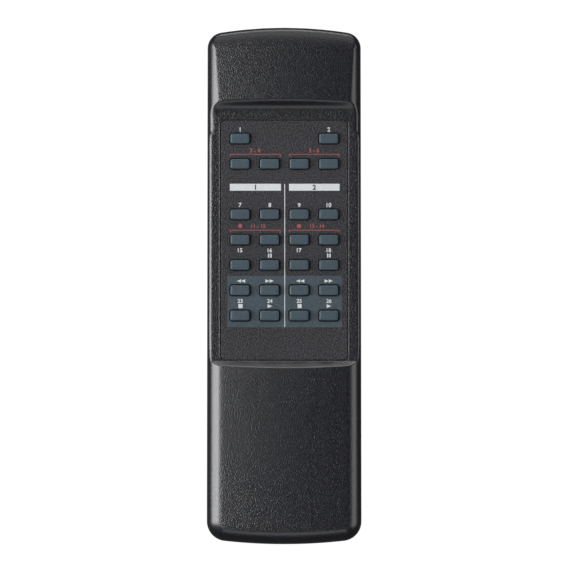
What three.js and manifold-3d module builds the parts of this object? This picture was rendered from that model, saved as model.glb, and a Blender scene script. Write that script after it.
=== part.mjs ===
// Handheld infrared remote control for a double cassette deck.
// Millimetres. +X is right and +Y points to the infrared end as the keys face the reader, and +Z is up
// through the keys. The origin is under the middle of the case, on the surface that its back lies on.
import * as THREE from "three";
import { mergeVertices } from "three/addons/utils/BufferGeometryUtils.js";
import Module from "manifold-3d";

const wasm = await Module();
wasm.setup();

// Case
const LENGTH = 167.5;
const WIDTH = 50;
const HEIGHT = 20;
const WALL = 2;
const PARTING_Z = 8.5; // top rim of the lower half
const PARTING_GAP = 0.3;
const FRONT_ARC_RADIUS = 137;
const FRONT_CORNER_RADIUS = 5.2;
const TAIL_ARC_RADIUS = 177;
const TAIL_CORNER_RADIUS = 6.4;
const HEAD_NARROWING = 0.27; // how far each side runs in from the tail to the head
const UPPER_DRAFT = 0.3; // how far the upper side walls lean in
const SHOULDER_WIDTH = 5.7; // long upper edges: quarter ellipses
const SHOULDER_HEIGHT = 3.7;
const SHOULDER_CREST = 0.19; // how far the ellipse would top the crown, which makes the crease
const TAIL_EDGE_WIDTH = 6;
const TAIL_EDGE_HEIGHT = 5;
const FRONT_EDGE_RADIUS = 0.8;
const INNER_EDGE_RADIUS = 0.3; // least round left inside the walls
const CORNER_SPARE = 0.4; // least radius left where a plan corner is inset
const CROWN_RADIUS = 270; // across the case
const RAMP_RADIUS = 750; // the fall towards the infrared end
const RAMP_LENGTH = 38.75;
const BROW_LENGTH = 5;
const BROW_DROP = 1;

// Key panel, sunk between the hood and the grip
const PANEL_DEPTH = 2.5;
const PANEL_WALL = 2.4;
const PANEL_EDGE_RADIUS = 1.1;
const HOOD_FOOT_Y = 56.9;
const HOOD_FOOT_CORNER = 5.5; // where the foot turns back along the sides
const HOOD_FILLET = 3.5;
const HOOD_SLOPE = THREE.MathUtils.degToRad(52);
const GRIP_FOOT_Y = -24.3;
const GRIP_FILLET = 0.5;
const GRIP_SLOPE = THREE.MathUtils.degToRad(52);

// Underside
const BOTTOM_EDGE_RADIUS = 3.5;
const LOWER_DRAFT = 0.3;
const NOSE_RISE = 2.5;
const NOSE_RISE_LENGTH = 34;

// Rim joint between the halves
const LIP_THICKNESS = 0.8;
const LIP_HEIGHT = 1.4;

// Clearances
const SEAT_GAP = 0.3; // pieces that rest on each other
const KEY_GAP = 0.3; // round a key
const DOOR_GAP = 0.3; // round the battery door
const CUT_OVERRUN = 2; // how far a cutter passes the face that it opens

// Printed plate
const PLATE_SIDE_MARGIN = 4.2; // from the case's sides
const PLATE_THICKNESS = 0.5;
const PLATE_CORNER = 1.6;
const PLATE_TOP_MARGIN = 2.9; // from the hood's foot
const PLATE_BOTTOM_MARGIN = 0.4; // from the grip's foot
const PLATE_GLUE = 0.1;
const PLATE_GROOVE = 0.25;

// Keys
const KEY_WIDTH = 6.2;
const KEY_LENGTH = 3.3;
const KEY_CORNER = 0.6;
const KEY_EDGE = 0.3; // chamfer round the key's top
const KEY_DRAFT = 0.08;
const KEY_PROUD = 1.5; // above the panel
const KEY_PITCH_Y = 8.17;
const KEY_TOP_MARGIN = 9.3; // from the hood's foot to the first row
const KEY_FLANGE = 0.8; // how far the flange stands out round the key
const KEY_FLANGE_THICKNESS = 0.6;
const KEY_TRAVEL = 0.7;
const KEY_STOP_GAP = 0.1; // left under a key that is pressed home
const KEY_PLUNGER_HEIGHT = 1.2; // below the flange
const KEY_PLUNGER_INSET = 0.7;

// Rubber sheet and circuit board
const BOARD_THICKNESS = 1.6;
const BOARD_SIDE_MARGIN = 4; // from the case's sides
const BOARD_TRAY_GAP = 1.4; // from the tray's wall
const SHEET_THICKNESS = 1.1;
const SHEET_MARGIN = 3.2; // past the first row of keys
const SHEET_SIDE_INSET = 0.3; // from the board's sides
const SHEET_TAIL_INSET = 10.55; // from the board's tail
const SHEET_LAY = 0.1; // between the board and the sheet
const SHEET_CORNER = 2;
const POST_RADIUS = 2.2;
const POST_PIN_RADIUS = 1;
const POST_PIN_HEIGHT = 1.9;
const POST_INSET_X = 3.4; // from the board's sides
const POST_INSET_Y = 5; // from the board's ends
const POST_ROW = 2; // grid row that holds no key
const PIN_GAP = 0.3;

// Infrared end
const WINDOW_WIDTH = 22;
const WINDOW_LOW_Z = 6.1;
const WINDOW_TOP_MARGIN = 6.9; // below the case's height
const WINDOW_FLANGE = 1.2;
const WINDOW_FLANGE_THICKNESS = 1;
const LED_RADIUS = 2.5;
const LED_COLLAR_RADIUS = 2.9;
const LED_COLLAR_LENGTH = 1;
const LED_LENGTH = 7.4;
const LED_LEAD = 0.5;
const LED_LEAD_PITCH = 2.54;
const LED_LEAD_LENGTH = 3;
const LED_WINDOW_GAP = 0.6;

// Dry cells, size R03, and their contacts
const CELL_RADIUS = 5.15;
const CELL_BODY_LENGTH = 43.3;
const CELL_NUB_RADIUS = 1.9;
const CELL_NUB_LENGTH = 1.2;
const CELL_EDGE = 0.5;
const CELL_GAP = 0.5;
const CONTACT_THICKNESS = 0.4;
const CONTACT_WIDTH = 8;
const CONTACT_HEIGHT = 8;
const CONTACT_TAB_WIDTH = 3;
const CONTACT_TAB_REACH = 4; // over the board
const SPRING_WIRE = 0.5;
const SPRING_BASE_RADIUS = 3.3;
const SPRING_TIP_RADIUS = 1.9;
const SPRING_LENGTH = 5;
const SPRING_TURNS = 4;

// Battery tray and door
const TRAY_WALL = 1.2;
const TRAY_FLOOR_Z = 4; // inner face of the back's plate
const TRAY_TAIL_INSET = 4.35; // from the tail to the tray's room
const CELL_BELOW_GAP = 0.5; // between a cell and the door
const DOOR_WIDTH = 36;
const DOOR_FACE_Z = 0.25; // the door lies in from the back
const DOOR_INNER_Z = 2;
const DOOR_TONGUE = 1.3;
const DOOR_TONGUE_THICKNESS = 0.9;
const DOOR_HEAD_REACH = 1.4; // past the tray's room
const DOOR_NOSE_LENGTH = 1.6; // tongue under the back's plate at the door's inner end
const DOOR_TAIL_HEIGHT = 4.7;
const DOOR_TAIL_WALL = 1.8;
const DOOR_RIB_COUNT = 6;
const DOOR_RIB_PITCH = 1.7;
const DOOR_RIB_WIDTH = 0.8;
const DOOR_RIB_LENGTH = 15;
const DOOR_RIB_DEPTH = 0.45;
const DOOR_RIB_START = 5.5; // from the door's inner end
const DOOR_ARROW_WIDTH = 7;
const DOOR_ARROW_LENGTH = 5;
const DOOR_ARROW_GAP = 3;

// Case screws
const SCREW_RADIUS = 1.3;
const SCREW_HEAD_RADIUS = 2.3;
const SCREW_HEAD_HEIGHT = 1.2;
const SCREW_PAD_WALL = 1.2; // round the head and above it
const SCREW_LENGTH = 9;
const SCREW_CROSS = 2.2;
const SCREW_CROSS_WIDTH = 0.5;
const SCREW_CROSS_DEPTH = 0.7;
const SCREW_TRAY_GAP = 3.15; // from the tray's wall to the screw's middle
const SCREW_TAIL_INSET = 17.75;
const BOSS_RADIUS = 2.8;
const SCREW_HOLE_GAP = 0.3;
const SCREW_GRIP = 0.3; // between a thread and its bore

// Parts on the board
const CHIP_WIDTH = 7.5;
const CHIP_LENGTH = 12.8;
const CHIP_HEIGHT = 2.3;
const CHIP_LEAD_PITCH = 1.27;
const CHIP_LEAD_COUNT = 10;
const CHIP_LEAD_WIDTH = 0.4;
const CHIP_LEAD_REACH = 1.2;
const CHIP_LEAD_THICKNESS = 0.3;
const CHIP_Y = 30;
const RESONATOR_WIDTH = 7;
const RESONATOR_THICKNESS = 3;
const RESONATOR_ROOM_SHARE = 0.82; // of the room left under the board
const RESONATOR_CORNER = 0.8;
const RESONATOR_Y = 48;
const CAPACITOR_RADIUS = 2;
const CAPACITOR_LENGTH = 7;
const CAPACITOR_GROOVE_DEPTH = 0.25;
const CAPACITOR_GROOVE_SHARES = [0.75, 0.82, 0.89]; // along the can
const CAPACITOR_X = 9;
const CAPACITOR_Y = 5;
const TRANSISTOR_RADIUS = 2.3;
const TRANSISTOR_FLAT = 1.3;
const TRANSISTOR_ROOM_SHARE = 0.62; // of the room left under the board
const TRANSISTOR_X = 8;
const TRANSISTOR_INSET_Y = 11.45; // from the board's head end
const LEG = 0.5;
const LEG_PITCH = 1.6;
const LEG_LENGTH = 1;
const RESISTOR_RADIUS = 1.1;
const RESISTOR_LENGTH = 6;
const RESISTOR_WAIST = 0.2;
const RESISTOR_WAIST_SHARES = [0.25, 0.32, 0.68, 0.75]; // along the body
const RESISTOR_X = -9;
const RESISTOR_INSET_Y = 13.45; // from the board's head end
const RESISTOR_PITCH = 5;

// Facets
const ARC_STEPS = 6;
const CORNER_STEPS = 4;
const END_STEPS = 6;
const KEY_CORNER_STEPS = 2;
const ROUND_SIDES = 20;
const PIN_SIDES = 12;
const CELL_SIDES = 24;
const SPRING_STEPS = 8;
const SPRING_SIDES = 5;

// Sizes that follow
const HALF_WIDTH = WIDTH / 2;
const HALF_LENGTH = LENGTH / 2;
const RAMP_START_Y = HALF_LENGTH - RAMP_LENGTH;
const PANEL_Z = HEIGHT - PANEL_DEPTH;
const UPPER_RIM_Z = PARTING_Z + PARTING_GAP;
const PLATE_WIDTH = WIDTH - 2 * PLATE_SIDE_MARGIN;
const PLATE_FRONT_Y = HOOD_FOOT_Y - PLATE_TOP_MARGIN;
const PLATE_TAIL_Y = GRIP_FOOT_Y + PLATE_BOTTOM_MARGIN;
const PLATE_LENGTH = PLATE_FRONT_Y - PLATE_TAIL_Y;
const PLATE_MIDDLE_Y = (PLATE_FRONT_Y + PLATE_TAIL_Y) / 2;
const POCKET_Z = PANEL_Z - PLATE_THICKNESS - PLATE_GLUE;
const KEY_TOP_Z = PANEL_Z + KEY_PROUD;
const KEY_FLANGE_TOP_Z = PANEL_Z - PANEL_WALL - SEAT_GAP;
const KEY_FLANGE_Z = KEY_FLANGE_TOP_Z - KEY_FLANGE_THICKNESS;
const KEY_BOTTOM_Z = KEY_FLANGE_Z - KEY_PLUNGER_HEIGHT;
const KEY_FIRST_ROW_Y = HOOD_FOOT_Y - KEY_TOP_MARGIN;
const BOARD_TOP_Z = KEY_BOTTOM_Z - KEY_TRAVEL - KEY_STOP_GAP;
const BOARD_BOTTOM_Z = BOARD_TOP_Z - BOARD_THICKNESS;
const UNDER_BOARD_Z = BOARD_BOTTOM_Z - SEAT_GAP;
const SHEET_Z = BOARD_TOP_Z + SHEET_LAY;
const CELL_Z = DOOR_INNER_Z + CELL_BELOW_GAP + CELL_RADIUS;
const CELL_X = CELL_RADIUS + CELL_GAP / 2;
const CELL_LENGTH = CELL_BODY_LENGTH + CELL_NUB_LENGTH;
const TRAY_HALF_WIDTH = 2 * CELL_RADIUS + CELL_GAP / 2 + CELL_GAP;
const TRAY_ROOF_Z = CELL_Z + CELL_RADIUS + CELL_GAP;
const TRAY_LENGTH = CELL_LENGTH + SPRING_LENGTH + 2 * (CONTACT_THICKNESS + SEAT_GAP) + 3 * SEAT_GAP;
const TRAY_TAIL_Y = -HALF_LENGTH + TRAY_TAIL_INSET;
const TRAY_END_Y = TRAY_TAIL_Y + TRAY_LENGTH; // inner face of the tray's wall that faces the board
const TRAY_MIDDLE_Y = (TRAY_END_Y + TRAY_TAIL_Y) / 2;
const DOOR_HEAD_Y = TRAY_END_Y + DOOR_HEAD_REACH;
const DOOR_SEAT_Z = DOOR_INNER_Z + DOOR_GAP;
const SCREW_X = TRAY_HALF_WIDTH + TRAY_WALL + SCREW_TRAY_GAP;
const SCREW_Y = -HALF_LENGTH + SCREW_TAIL_INSET;
const SCREW_SEAT_Z = DOOR_SEAT_Z + SCREW_HEAD_HEIGHT + 2 * SEAT_GAP; // roof of the room for the head
const SCREW_PAD_Z = SCREW_SEAT_Z + SCREW_PAD_WALL;
const SCREW_TIP_Z = SCREW_SEAT_Z + SCREW_LENGTH;
const WINDOW_HIGH_Z = HEIGHT - WINDOW_TOP_MARGIN;
const WINDOW_Z = (WINDOW_LOW_Z + WINDOW_HIGH_Z) / 2;
const WINDOW_SEAT = WALL + UPPER_DRAFT + SEAT_GAP; // the flange's face, in from the outline
const LED_TIP_Y = HALF_LENGTH - WINDOW_SEAT - WINDOW_FLANGE_THICKNESS - LED_WINDOW_GAP;
const LED_BACK_Y = LED_TIP_Y - LED_LENGTH;
const BOARD_WIDTH = WIDTH - 2 * BOARD_SIDE_MARGIN;
const BOARD_FRONT_Y = LED_BACK_Y - SEAT_GAP;
const BOARD_TAIL_Y = TRAY_END_Y + TRAY_WALL + BOARD_TRAY_GAP;
const BOARD_MIDDLE_Y = (BOARD_FRONT_Y + BOARD_TAIL_Y) / 2;
const BOARD_LENGTH = BOARD_FRONT_Y - BOARD_TAIL_Y;
const TAB_Z = BOARD_TOP_Z + SEAT_GAP;
const POST_X = BOARD_WIDTH / 2 - POST_INSET_X;
const UNDER_LEGS_ROOM = UNDER_BOARD_Z - LEG_LENGTH - WALL;
const RESONATOR_HEIGHT = RESONATOR_ROOM_SHARE * UNDER_LEGS_ROOM;
const TRANSISTOR_HEIGHT = TRANSISTOR_ROOM_SHARE * UNDER_LEGS_ROOM;
const TRANSISTOR_Y = BOARD_FRONT_Y - TRANSISTOR_INSET_Y;
const RESISTOR_Y = BOARD_FRONT_Y - RESISTOR_INSET_Y;

// Key names: [grid row, [names from left to right; null where the row has no key]].
const DECK_KEYS = [
  [3, ["return_to_zero", "counter_reset"]],
  [4, ["record_a", "record_b"]],
  [5, ["record_mute", "pause"]],
  [6, ["rewind", "fast_forward"]],
  [7, ["stop", "play"]],
];
const KEY_ROWS = [
  [0, ["dimmer", null, null, "repeat"]],
  [1, ["parallel_a", "parallel_b", "dub_a", "dub_b"]],
  ...DECK_KEYS.map(([row, names]) => [
    row,
    [...names.map((name) => `deck1_${name}`), ...names.map((name) => `deck2_${name}`)],
  ]),
];
const COLUMNS = KEY_ROWS[0][1].length;
// The keys and the margins beside them share the plate's width evenly.
const KEY_PITCH_X = KEY_WIDTH + (PLATE_WIDTH - COLUMNS * KEY_WIDTH) / (COLUMNS + 1);
const keys = KEY_ROWS.flatMap(([row, names]) =>
  names.map((name, column) => ({
    name,
    x: (column - (COLUMNS - 1) / 2) * KEY_PITCH_X,
    y: KEY_FIRST_ROW_Y - row * KEY_PITCH_Y,
  })),
).filter((key) => key.name !== null);

// Solids

// A closed three.js geometry as a solid that can be joined and cut.
function solid(geometry) {
  const bare = geometry.clone();
  bare.deleteAttribute("normal");
  bare.deleteAttribute("uv");
  const merged = mergeVertices(bare);
  return new wasm.Manifold(
    new wasm.Mesh({
      numProp: 3,
      vertProperties: new Float32Array(merged.attributes.position.array),
      triVerts: new Uint32Array(merged.index.array),
    }),
  );
}

function geometryOf(made) {
  const mesh = made.getMesh();
  const geometry = new THREE.BufferGeometry();
  geometry.setAttribute("position", new THREE.BufferAttribute(new Float32Array(mesh.vertProperties), 3));
  geometry.setIndex(new THREE.BufferAttribute(new Uint32Array(mesh.triVerts), 1));
  geometry.computeVertexNormals();
  return geometry;
}

// A box between two corners.
function block([x0, y0, z0], [x1, y1, z1]) {
  const geometry = new THREE.BoxGeometry(x1 - x0, y1 - y0, z1 - z0);
  return solid(geometry.translate((x0 + x1) / 2, (y0 + y1) / 2, (z0 + z1) / 2));
}

// A box centred on x and y, standing from z0 to z1.
function slab(x, y, width, length, z0, z1) {
  return block([x - width / 2, y - length / 2, z0], [x + width / 2, y + length / 2, z1]);
}

// An upright cylinder or cone.
function post(x, y, z0, z1, radius, sides = ROUND_SIDES, topRadius = radius) {
  const geometry = new THREE.CylinderGeometry(topRadius, radius, z1 - z0, sides);
  return solid(geometry.rotateX(Math.PI / 2).translate(x, y, (z0 + z1) / 2));
}

// A lathe turned about the Y direction, from [radius, y] points.
function turnedAlongY(points, sides) {
  return solid(new THREE.LatheGeometry(points.map(([r, y]) => new THREE.Vector2(r, y)), sides));
}

// The corners of a rectangle with round corners, anticlockwise, as [x, y] pairs.
function roundRectangle(width, length, radius, steps) {
  const points = [];
  for (let corner = 0; corner < 4; corner += 1) {
    const sideX = corner === 0 || corner === 3 ? 1 : -1;
    const sideY = corner < 2 ? 1 : -1;
    for (let step = 0; step <= steps; step += 1) {
      const angle = ((corner + step / steps) * Math.PI) / 2;
      points.push([
        sideX * (width / 2 - radius) + radius * Math.cos(angle),
        sideY * (length / 2 - radius) + radius * Math.sin(angle),
      ]);
    }
  }
  return points;
}

// A solid through rings of [x, y, z] points. The rings have equal counts, run anticlockwise seen from above,
// and rise. A flat cap, or a seam along the middle where the end ring is folded flat, closes each end.
function loft(rings, capped = true) {
  const count = rings[0].length;
  const positions = rings.flat(2);
  const faces = [];
  for (let ring = 0; ring + 1 < rings.length; ring += 1) {
    for (let point = 0; point < count; point += 1) {
      const a = ring * count + point;
      const b = ring * count + ((point + 1) % count);
      faces.push(a, b, a + count, b, b + count, a + count);
    }
  }
  if (capped) {
    const top = (rings.length - 1) * count;
    for (let point = 1; point + 1 < count; point += 1) {
      faces.push(0, point + 1, point, top, top + point, top + point + 1);
    }
  }
  const geometry = new THREE.BufferGeometry();
  geometry.setAttribute("position", new THREE.Float32BufferAttribute(positions, 3));
  geometry.setIndex(faces);
  return solid(withoutFlatFaces(mergeVertices(geometry)));
}

// The geometry without triangles that have lost an edge where points merged.
function withoutFlatFaces(geometry) {
  const index = geometry.index.array;
  const kept = [];
  for (let face = 0; face < index.length; face += 3) {
    const [a, b, c] = index.slice(face, face + 3);
    if (a !== b && b !== c && c !== a) kept.push(a, b, c);
  }
  return geometry.setIndex(kept);
}

function prism(points, z0, z1) {
  return loft([points.map(([x, y]) => [x, y, z0]), points.map(([x, y]) => [x, y, z1])]);
}

function joined(pieces) {
  return pieces.reduce((whole, piece) => whole.add(piece));
}

function cutBy(body, cutters) {
  return cutters.reduce((rest, cutter) => rest.subtract(cutter), body);
}

// Case outline

// One end of the plan outline: the end arc's centre, the corner's centre and the angle where they meet.
function endOf(sign, arcRadius, cornerRadius) {
  const cornerX = HALF_WIDTH - cornerRadius;
  const arcY = HALF_LENGTH - arcRadius;
  const reach = arcRadius - cornerRadius;
  const cornerY = arcY + Math.sqrt(reach * reach - cornerX * cornerX);
  return { sign, arcRadius, cornerRadius, cornerX, arcY, cornerY, meet: Math.asin(cornerX / reach) };
}

const FRONT = endOf(1, FRONT_ARC_RADIUS, FRONT_CORNER_RADIUS);
const TAIL = endOf(-1, TAIL_ARC_RADIUS, TAIL_CORNER_RADIUS);

// The plan grows narrower in a straight line from the tail to the head.
function tapered([x, y]) {
  const share = (y + HALF_LENGTH) / LENGTH;
  return [x * (1 - (share * HEAD_NARROWING) / HALF_WIDTH), y];
}

// Places round the outline, anticlockwise from the right side. Each place gives its point at any inset, the
// point on the case's middle line that it faces, the most that it can be inset, and how far it lies round the
// front or tail corner, 0 to 1.
function outlinePlaces(sideStations) {
  const places = [];
  const side = (sign, y) =>
    places.push({
      at: (inset) => tapered([sign * (HALF_WIDTH - inset), y]),
      spine: [0, y],
      room: HALF_WIDTH,
      front: 0,
      tail: 0,
    });
  const end = (form, angle, share) => {
    const round = Math.abs(angle) > form.meet;
    const lift = Math.sign(angle) * Math.min(Math.abs(angle), form.meet);
    places.push({
      at: (inset) =>
        tapered(
          round
            ? [
                Math.sign(angle) * form.cornerX + (form.cornerRadius - inset) * Math.sin(angle),
                form.sign * (form.cornerY + (form.cornerRadius - inset) * Math.cos(angle)),
              ]
            : [
                (form.arcRadius - inset) * Math.sin(lift),
                form.sign * (form.arcY + (form.arcRadius - inset) * Math.cos(lift)),
              ],
        ),
      spine: [0, form.sign * form.cornerY],
      room: form.cornerRadius - CORNER_SPARE,
      front: form === FRONT ? share : 0,
      tail: form === TAIL ? share : 0,
    });
  };
  // Angles round one end, from its right side (a quarter turn) to its left side.
  const endAngles = (form) => {
    const corner = Array.from({ length: CORNER_STEPS }, (_, step) => {
      const share = step / CORNER_STEPS;
      return [Math.PI / 2 - share * (Math.PI / 2 - form.meet), share];
    });
    const middle = Array.from({ length: END_STEPS + 1 }, (_, step) => [
      form.meet * (1 - (2 * step) / END_STEPS),
      1,
    ]);
    return [...corner, ...middle, ...corner.map(([angle, share]) => [-angle, share]).reverse()];
  };
  const rising = [...sideStations].sort((a, b) => a - b);
  rising.forEach((y) => side(1, y));
  endAngles(FRONT).forEach(([angle, share]) => end(FRONT, angle, share));
  [...rising].reverse().forEach((y) => side(-1, y));
  endAngles(TAIL).forEach(([angle, share]) => end(TAIL, -angle, share));
  return places;
}

// How far an edge, rounded as a quarter ellipse, has dropped at a distance in from it.
function edgeDrop(width, height, inset) {
  const past = Math.max(1 - inset / width, 0);
  return height * (1 - Math.sqrt(Math.max(1 - past * past, 0)));
}

// Height gained past the foot of a sloping wall: up a fillet, then straight up the slope.
function wallRise(past, fillet, slope) {
  if (past <= 0) return 0;
  const filletReach = fillet * Math.sin(slope);
  if (past < filletReach) return fillet - Math.sqrt(fillet * fillet - past * past);
  return fillet * (1 - Math.cos(slope)) + (past - filletReach) * Math.tan(slope);
}

// Distance past the hood's foot, which runs straight across and turns back round a corner at each side.
function pastHoodFoot(x, y, wall) {
  const footY = HOOD_FOOT_Y + wall;
  const across = Math.abs(x) - (HALF_WIDTH - UPPER_DRAFT - wall - HOOD_FOOT_CORNER);
  if (across <= 0) return y - footY;
  return Math.hypot(across, Math.max(y - footY + HOOD_FOOT_CORNER, 0)) - HOOD_FOOT_CORNER;
}

// Height of the upper surface at a point that lies "inset" in from the top of the side wall. "wall" is 0 for the
// outside and WALL for the cavity, whose edges, panel and slopes move in by the wall.
function upperHeight(x, y, inset, place, wall) {
  const inwards = (size) => Math.max(size - wall, INNER_EDGE_RADIUS);
  const blend = (side, tail) =>
    inwards(THREE.MathUtils.lerp(THREE.MathUtils.lerp(side, tail, place.tail), FRONT_EDGE_RADIUS, place.front));
  const crown = HEIGHT - wall - (x * x) / (2 * CROWN_RADIUS);
  const ramp = Math.max(y - RAMP_START_Y, 0) ** 2 / (2 * RAMP_RADIUS);
  const frontInset = HALF_LENGTH - wall - y - (x * x) / (2 * FRONT_ARC_RADIUS);
  const brow = BROW_DROP * Math.max(1 - frontInset / BROW_LENGTH, 0) ** 2;
  const top = crown - ramp - brow;
  const crest = THREE.MathUtils.lerp(crown + SHOULDER_CREST, top, place.front);
  const edgeWidth = blend(SHOULDER_WIDTH, TAIL_EDGE_WIDTH);
  const shoulder = crest - edgeDrop(edgeWidth, blend(SHOULDER_HEIGHT, TAIL_EDGE_HEIGHT), inset);
  const panelZ = wall > 0 ? PANEL_Z - PANEL_WALL : PANEL_Z;
  const panelEdge = inwards(PANEL_EDGE_RADIUS);
  const hoodRise = wallRise(pastHoodFoot(x, y, wall), HOOD_FILLET, HOOD_SLOPE);
  const gripRise = wallRise(GRIP_FOOT_Y - wall - y, GRIP_FILLET, GRIP_SLOPE);
  const panel = panelZ - edgeDrop(panelEdge, panelEdge, inset) + hoodRise + gripRise;
  return Math.min(top, shoulder, panel);
}

// Shares of an edge radius, from the edge inwards, as evenly turned steps round a quarter circle.
const ARC_SHARES = Array.from({ length: ARC_STEPS }, (_, step) => 1 - Math.cos((step / ARC_STEPS) * (Math.PI / 2)));
const SPINE_SHARES = [0, 0.33, 0.67, 1];

function ringAt(places, inset, height) {
  return places.map((place) => {
    const [x, y] = place.at(inset);
    return [x, y, height(x, y, place)];
  });
}

// Rings from the largest edge inset to the case's middle line.
function ringsToSpine(places, inset, height) {
  return SPINE_SHARES.map((share) =>
    places.map((place) => {
      const [edgeX, edgeY] = place.at(inset);
      const x = THREE.MathUtils.lerp(edgeX, place.spine[0], share);
      const y = THREE.MathUtils.lerp(edgeY, place.spine[1], share);
      return [x, y, height(x, y, place)];
    }),
  );
}

function flatCap(places, inset, z) {
  return ringsToSpine(places, inset, () => z).slice(-1)[0];
}

// Side places where the upper surface bends, shifted out by the wall for the cavity.
function upperStations(wall) {
  // How far from its foot a sloping wall reaches the panel's depth.
  const reachOf = (fillet, slope) =>
    fillet * Math.sin(slope) + (PANEL_DEPTH - fillet * (1 - Math.cos(slope))) / Math.tan(slope);
  const hoodShares = [0, 0.25, 0.45, 0.62, 0.78, 0.9, 1, 1.2];
  const cornerShares = [0.25, 0.5, 0.75, 1];
  const gripShares = [0, 0.1, 0.3, 0.55, 0.75, 0.86, 0.95, 1.05];
  const rampShares = [0.3, 0.65];
  return [
    ...gripShares.map((share) => GRIP_FOOT_Y - wall - share * reachOf(GRIP_FILLET, GRIP_SLOPE)),
    ...cornerShares.map((share) => HOOD_FOOT_Y + wall - share * HOOD_FOOT_CORNER),
    ...hoodShares.map((share) => HOOD_FOOT_Y + wall + share * reachOf(HOOD_FILLET, HOOD_SLOPE)),
    ...rampShares.map((share) => THREE.MathUtils.lerp(HOOD_FOOT_Y + HOOD_FOOT_CORNER, FRONT.cornerY, share)),
  ];
}

// The upper half's outside as a solid block, or its cavity.
function upperBlock(wall) {
  const places = outlinePlaces(upperStations(wall));
  const foot = wall > 0 ? UPPER_RIM_Z - CUT_OVERRUN : UPPER_RIM_Z;
  const edge = wall + UPPER_DRAFT;
  const widest = Math.max(SHOULDER_WIDTH, TAIL_EDGE_WIDTH) - wall;
  const ring = (edgeShare, spineShare) =>
    places.map((place) => {
      const inset = edgeShare * Math.min(widest, place.room - edge);
      const [edgeX, edgeY] = place.at(edge + inset);
      const x = THREE.MathUtils.lerp(edgeX, place.spine[0], spineShare);
      const y = THREE.MathUtils.lerp(edgeY, place.spine[1], spineShare);
      return [x, y, upperHeight(x, y, inset, place, wall)];
    });
  return loft(
    [
      flatCap(places, wall, foot),
      ringAt(places, wall, () => foot),
      ...ARC_SHARES.map((share) => ring(share, 0)),
      ...SPINE_SHARES.map((share) => ring(1, share)),
    ],
    false,
  );
}

// Underside

function noseRise(y) {
  const past = Math.max(y - (HALF_LENGTH - NOSE_RISE_LENGTH), 0) / NOSE_RISE_LENGTH;
  return NOSE_RISE * past * past;
}

function lowerBlock(wall) {
  const noseShares = [0, 0.3, 0.55, 0.8];
  const noseStart = HALF_LENGTH - NOSE_RISE_LENGTH;
  const places = outlinePlaces(
    noseShares.map((share) => THREE.MathUtils.lerp(noseStart, FRONT.cornerY, share)),
  );
  const top = wall > 0 ? PARTING_Z + CUT_OVERRUN : PARTING_Z;
  const radius = BOTTOM_EDGE_RADIUS - wall;
  const height = (inset) => (x, y) => wall + noseRise(y) + edgeDrop(radius, radius, inset - LOWER_DRAFT);
  const insets = ARC_SHARES.map((share) => LOWER_DRAFT + share * radius);
  const reach = LOWER_DRAFT + radius;
  return loft(
    [
      ...ringsToSpine(places, wall + reach, height(reach)).reverse(),
      ...insets.map((inset) => ringAt(places, wall + inset, height(inset))).reverse(),
      ringAt(places, wall, () => top),
      flatCap(places, wall, top),
    ],
    false,
  );
}

// A band that follows the outline between two insets and two heights.
function outlineBand(outerInset, innerInset, z0, z1) {
  const places = outlinePlaces([]);
  const column = (inset, low, high) =>
    loft(
      [
        flatCap(places, inset, low),
        ringAt(places, inset, () => low),
        ringAt(places, inset, () => high),
        flatCap(places, inset, high),
      ],
      false,
    );
  const core = column(innerInset, z0 - CUT_OVERRUN, z1 + CUT_OVERRUN);
  return column(outerInset, z0, z1).subtract(core);
}

const postPlaces = [-1, 1].flatMap((side) => [
  [side * POST_X, BOARD_FRONT_Y - POST_INSET_Y],
  [side * POST_X, KEY_FIRST_ROW_Y - POST_ROW * KEY_PITCH_Y],
  [side * POST_X, BOARD_TAIL_Y + POST_INSET_Y],
]);

// A block that frees the window's opening, or makes the window's own body when given no gap.
function windowBlock(gap) {
  return block(
    [-WINDOW_WIDTH / 2 - gap, HALF_LENGTH - FRONT_CORNER_RADIUS, WINDOW_LOW_Z - gap],
    [WINDOW_WIDTH / 2 + gap, HALF_LENGTH + CUT_OVERRUN, WINDOW_HIGH_Z + gap],
  );
}

// The battery tray's outside, grown by a gap.
function trayBlock(gap, foot) {
  const grown = TRAY_WALL + gap;
  return block(
    [-TRAY_HALF_WIDTH - grown, TRAY_TAIL_Y - grown, foot],
    [TRAY_HALF_WIDTH + grown, TRAY_END_Y + grown, TRAY_ROOF_Z + grown],
  );
}

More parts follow.
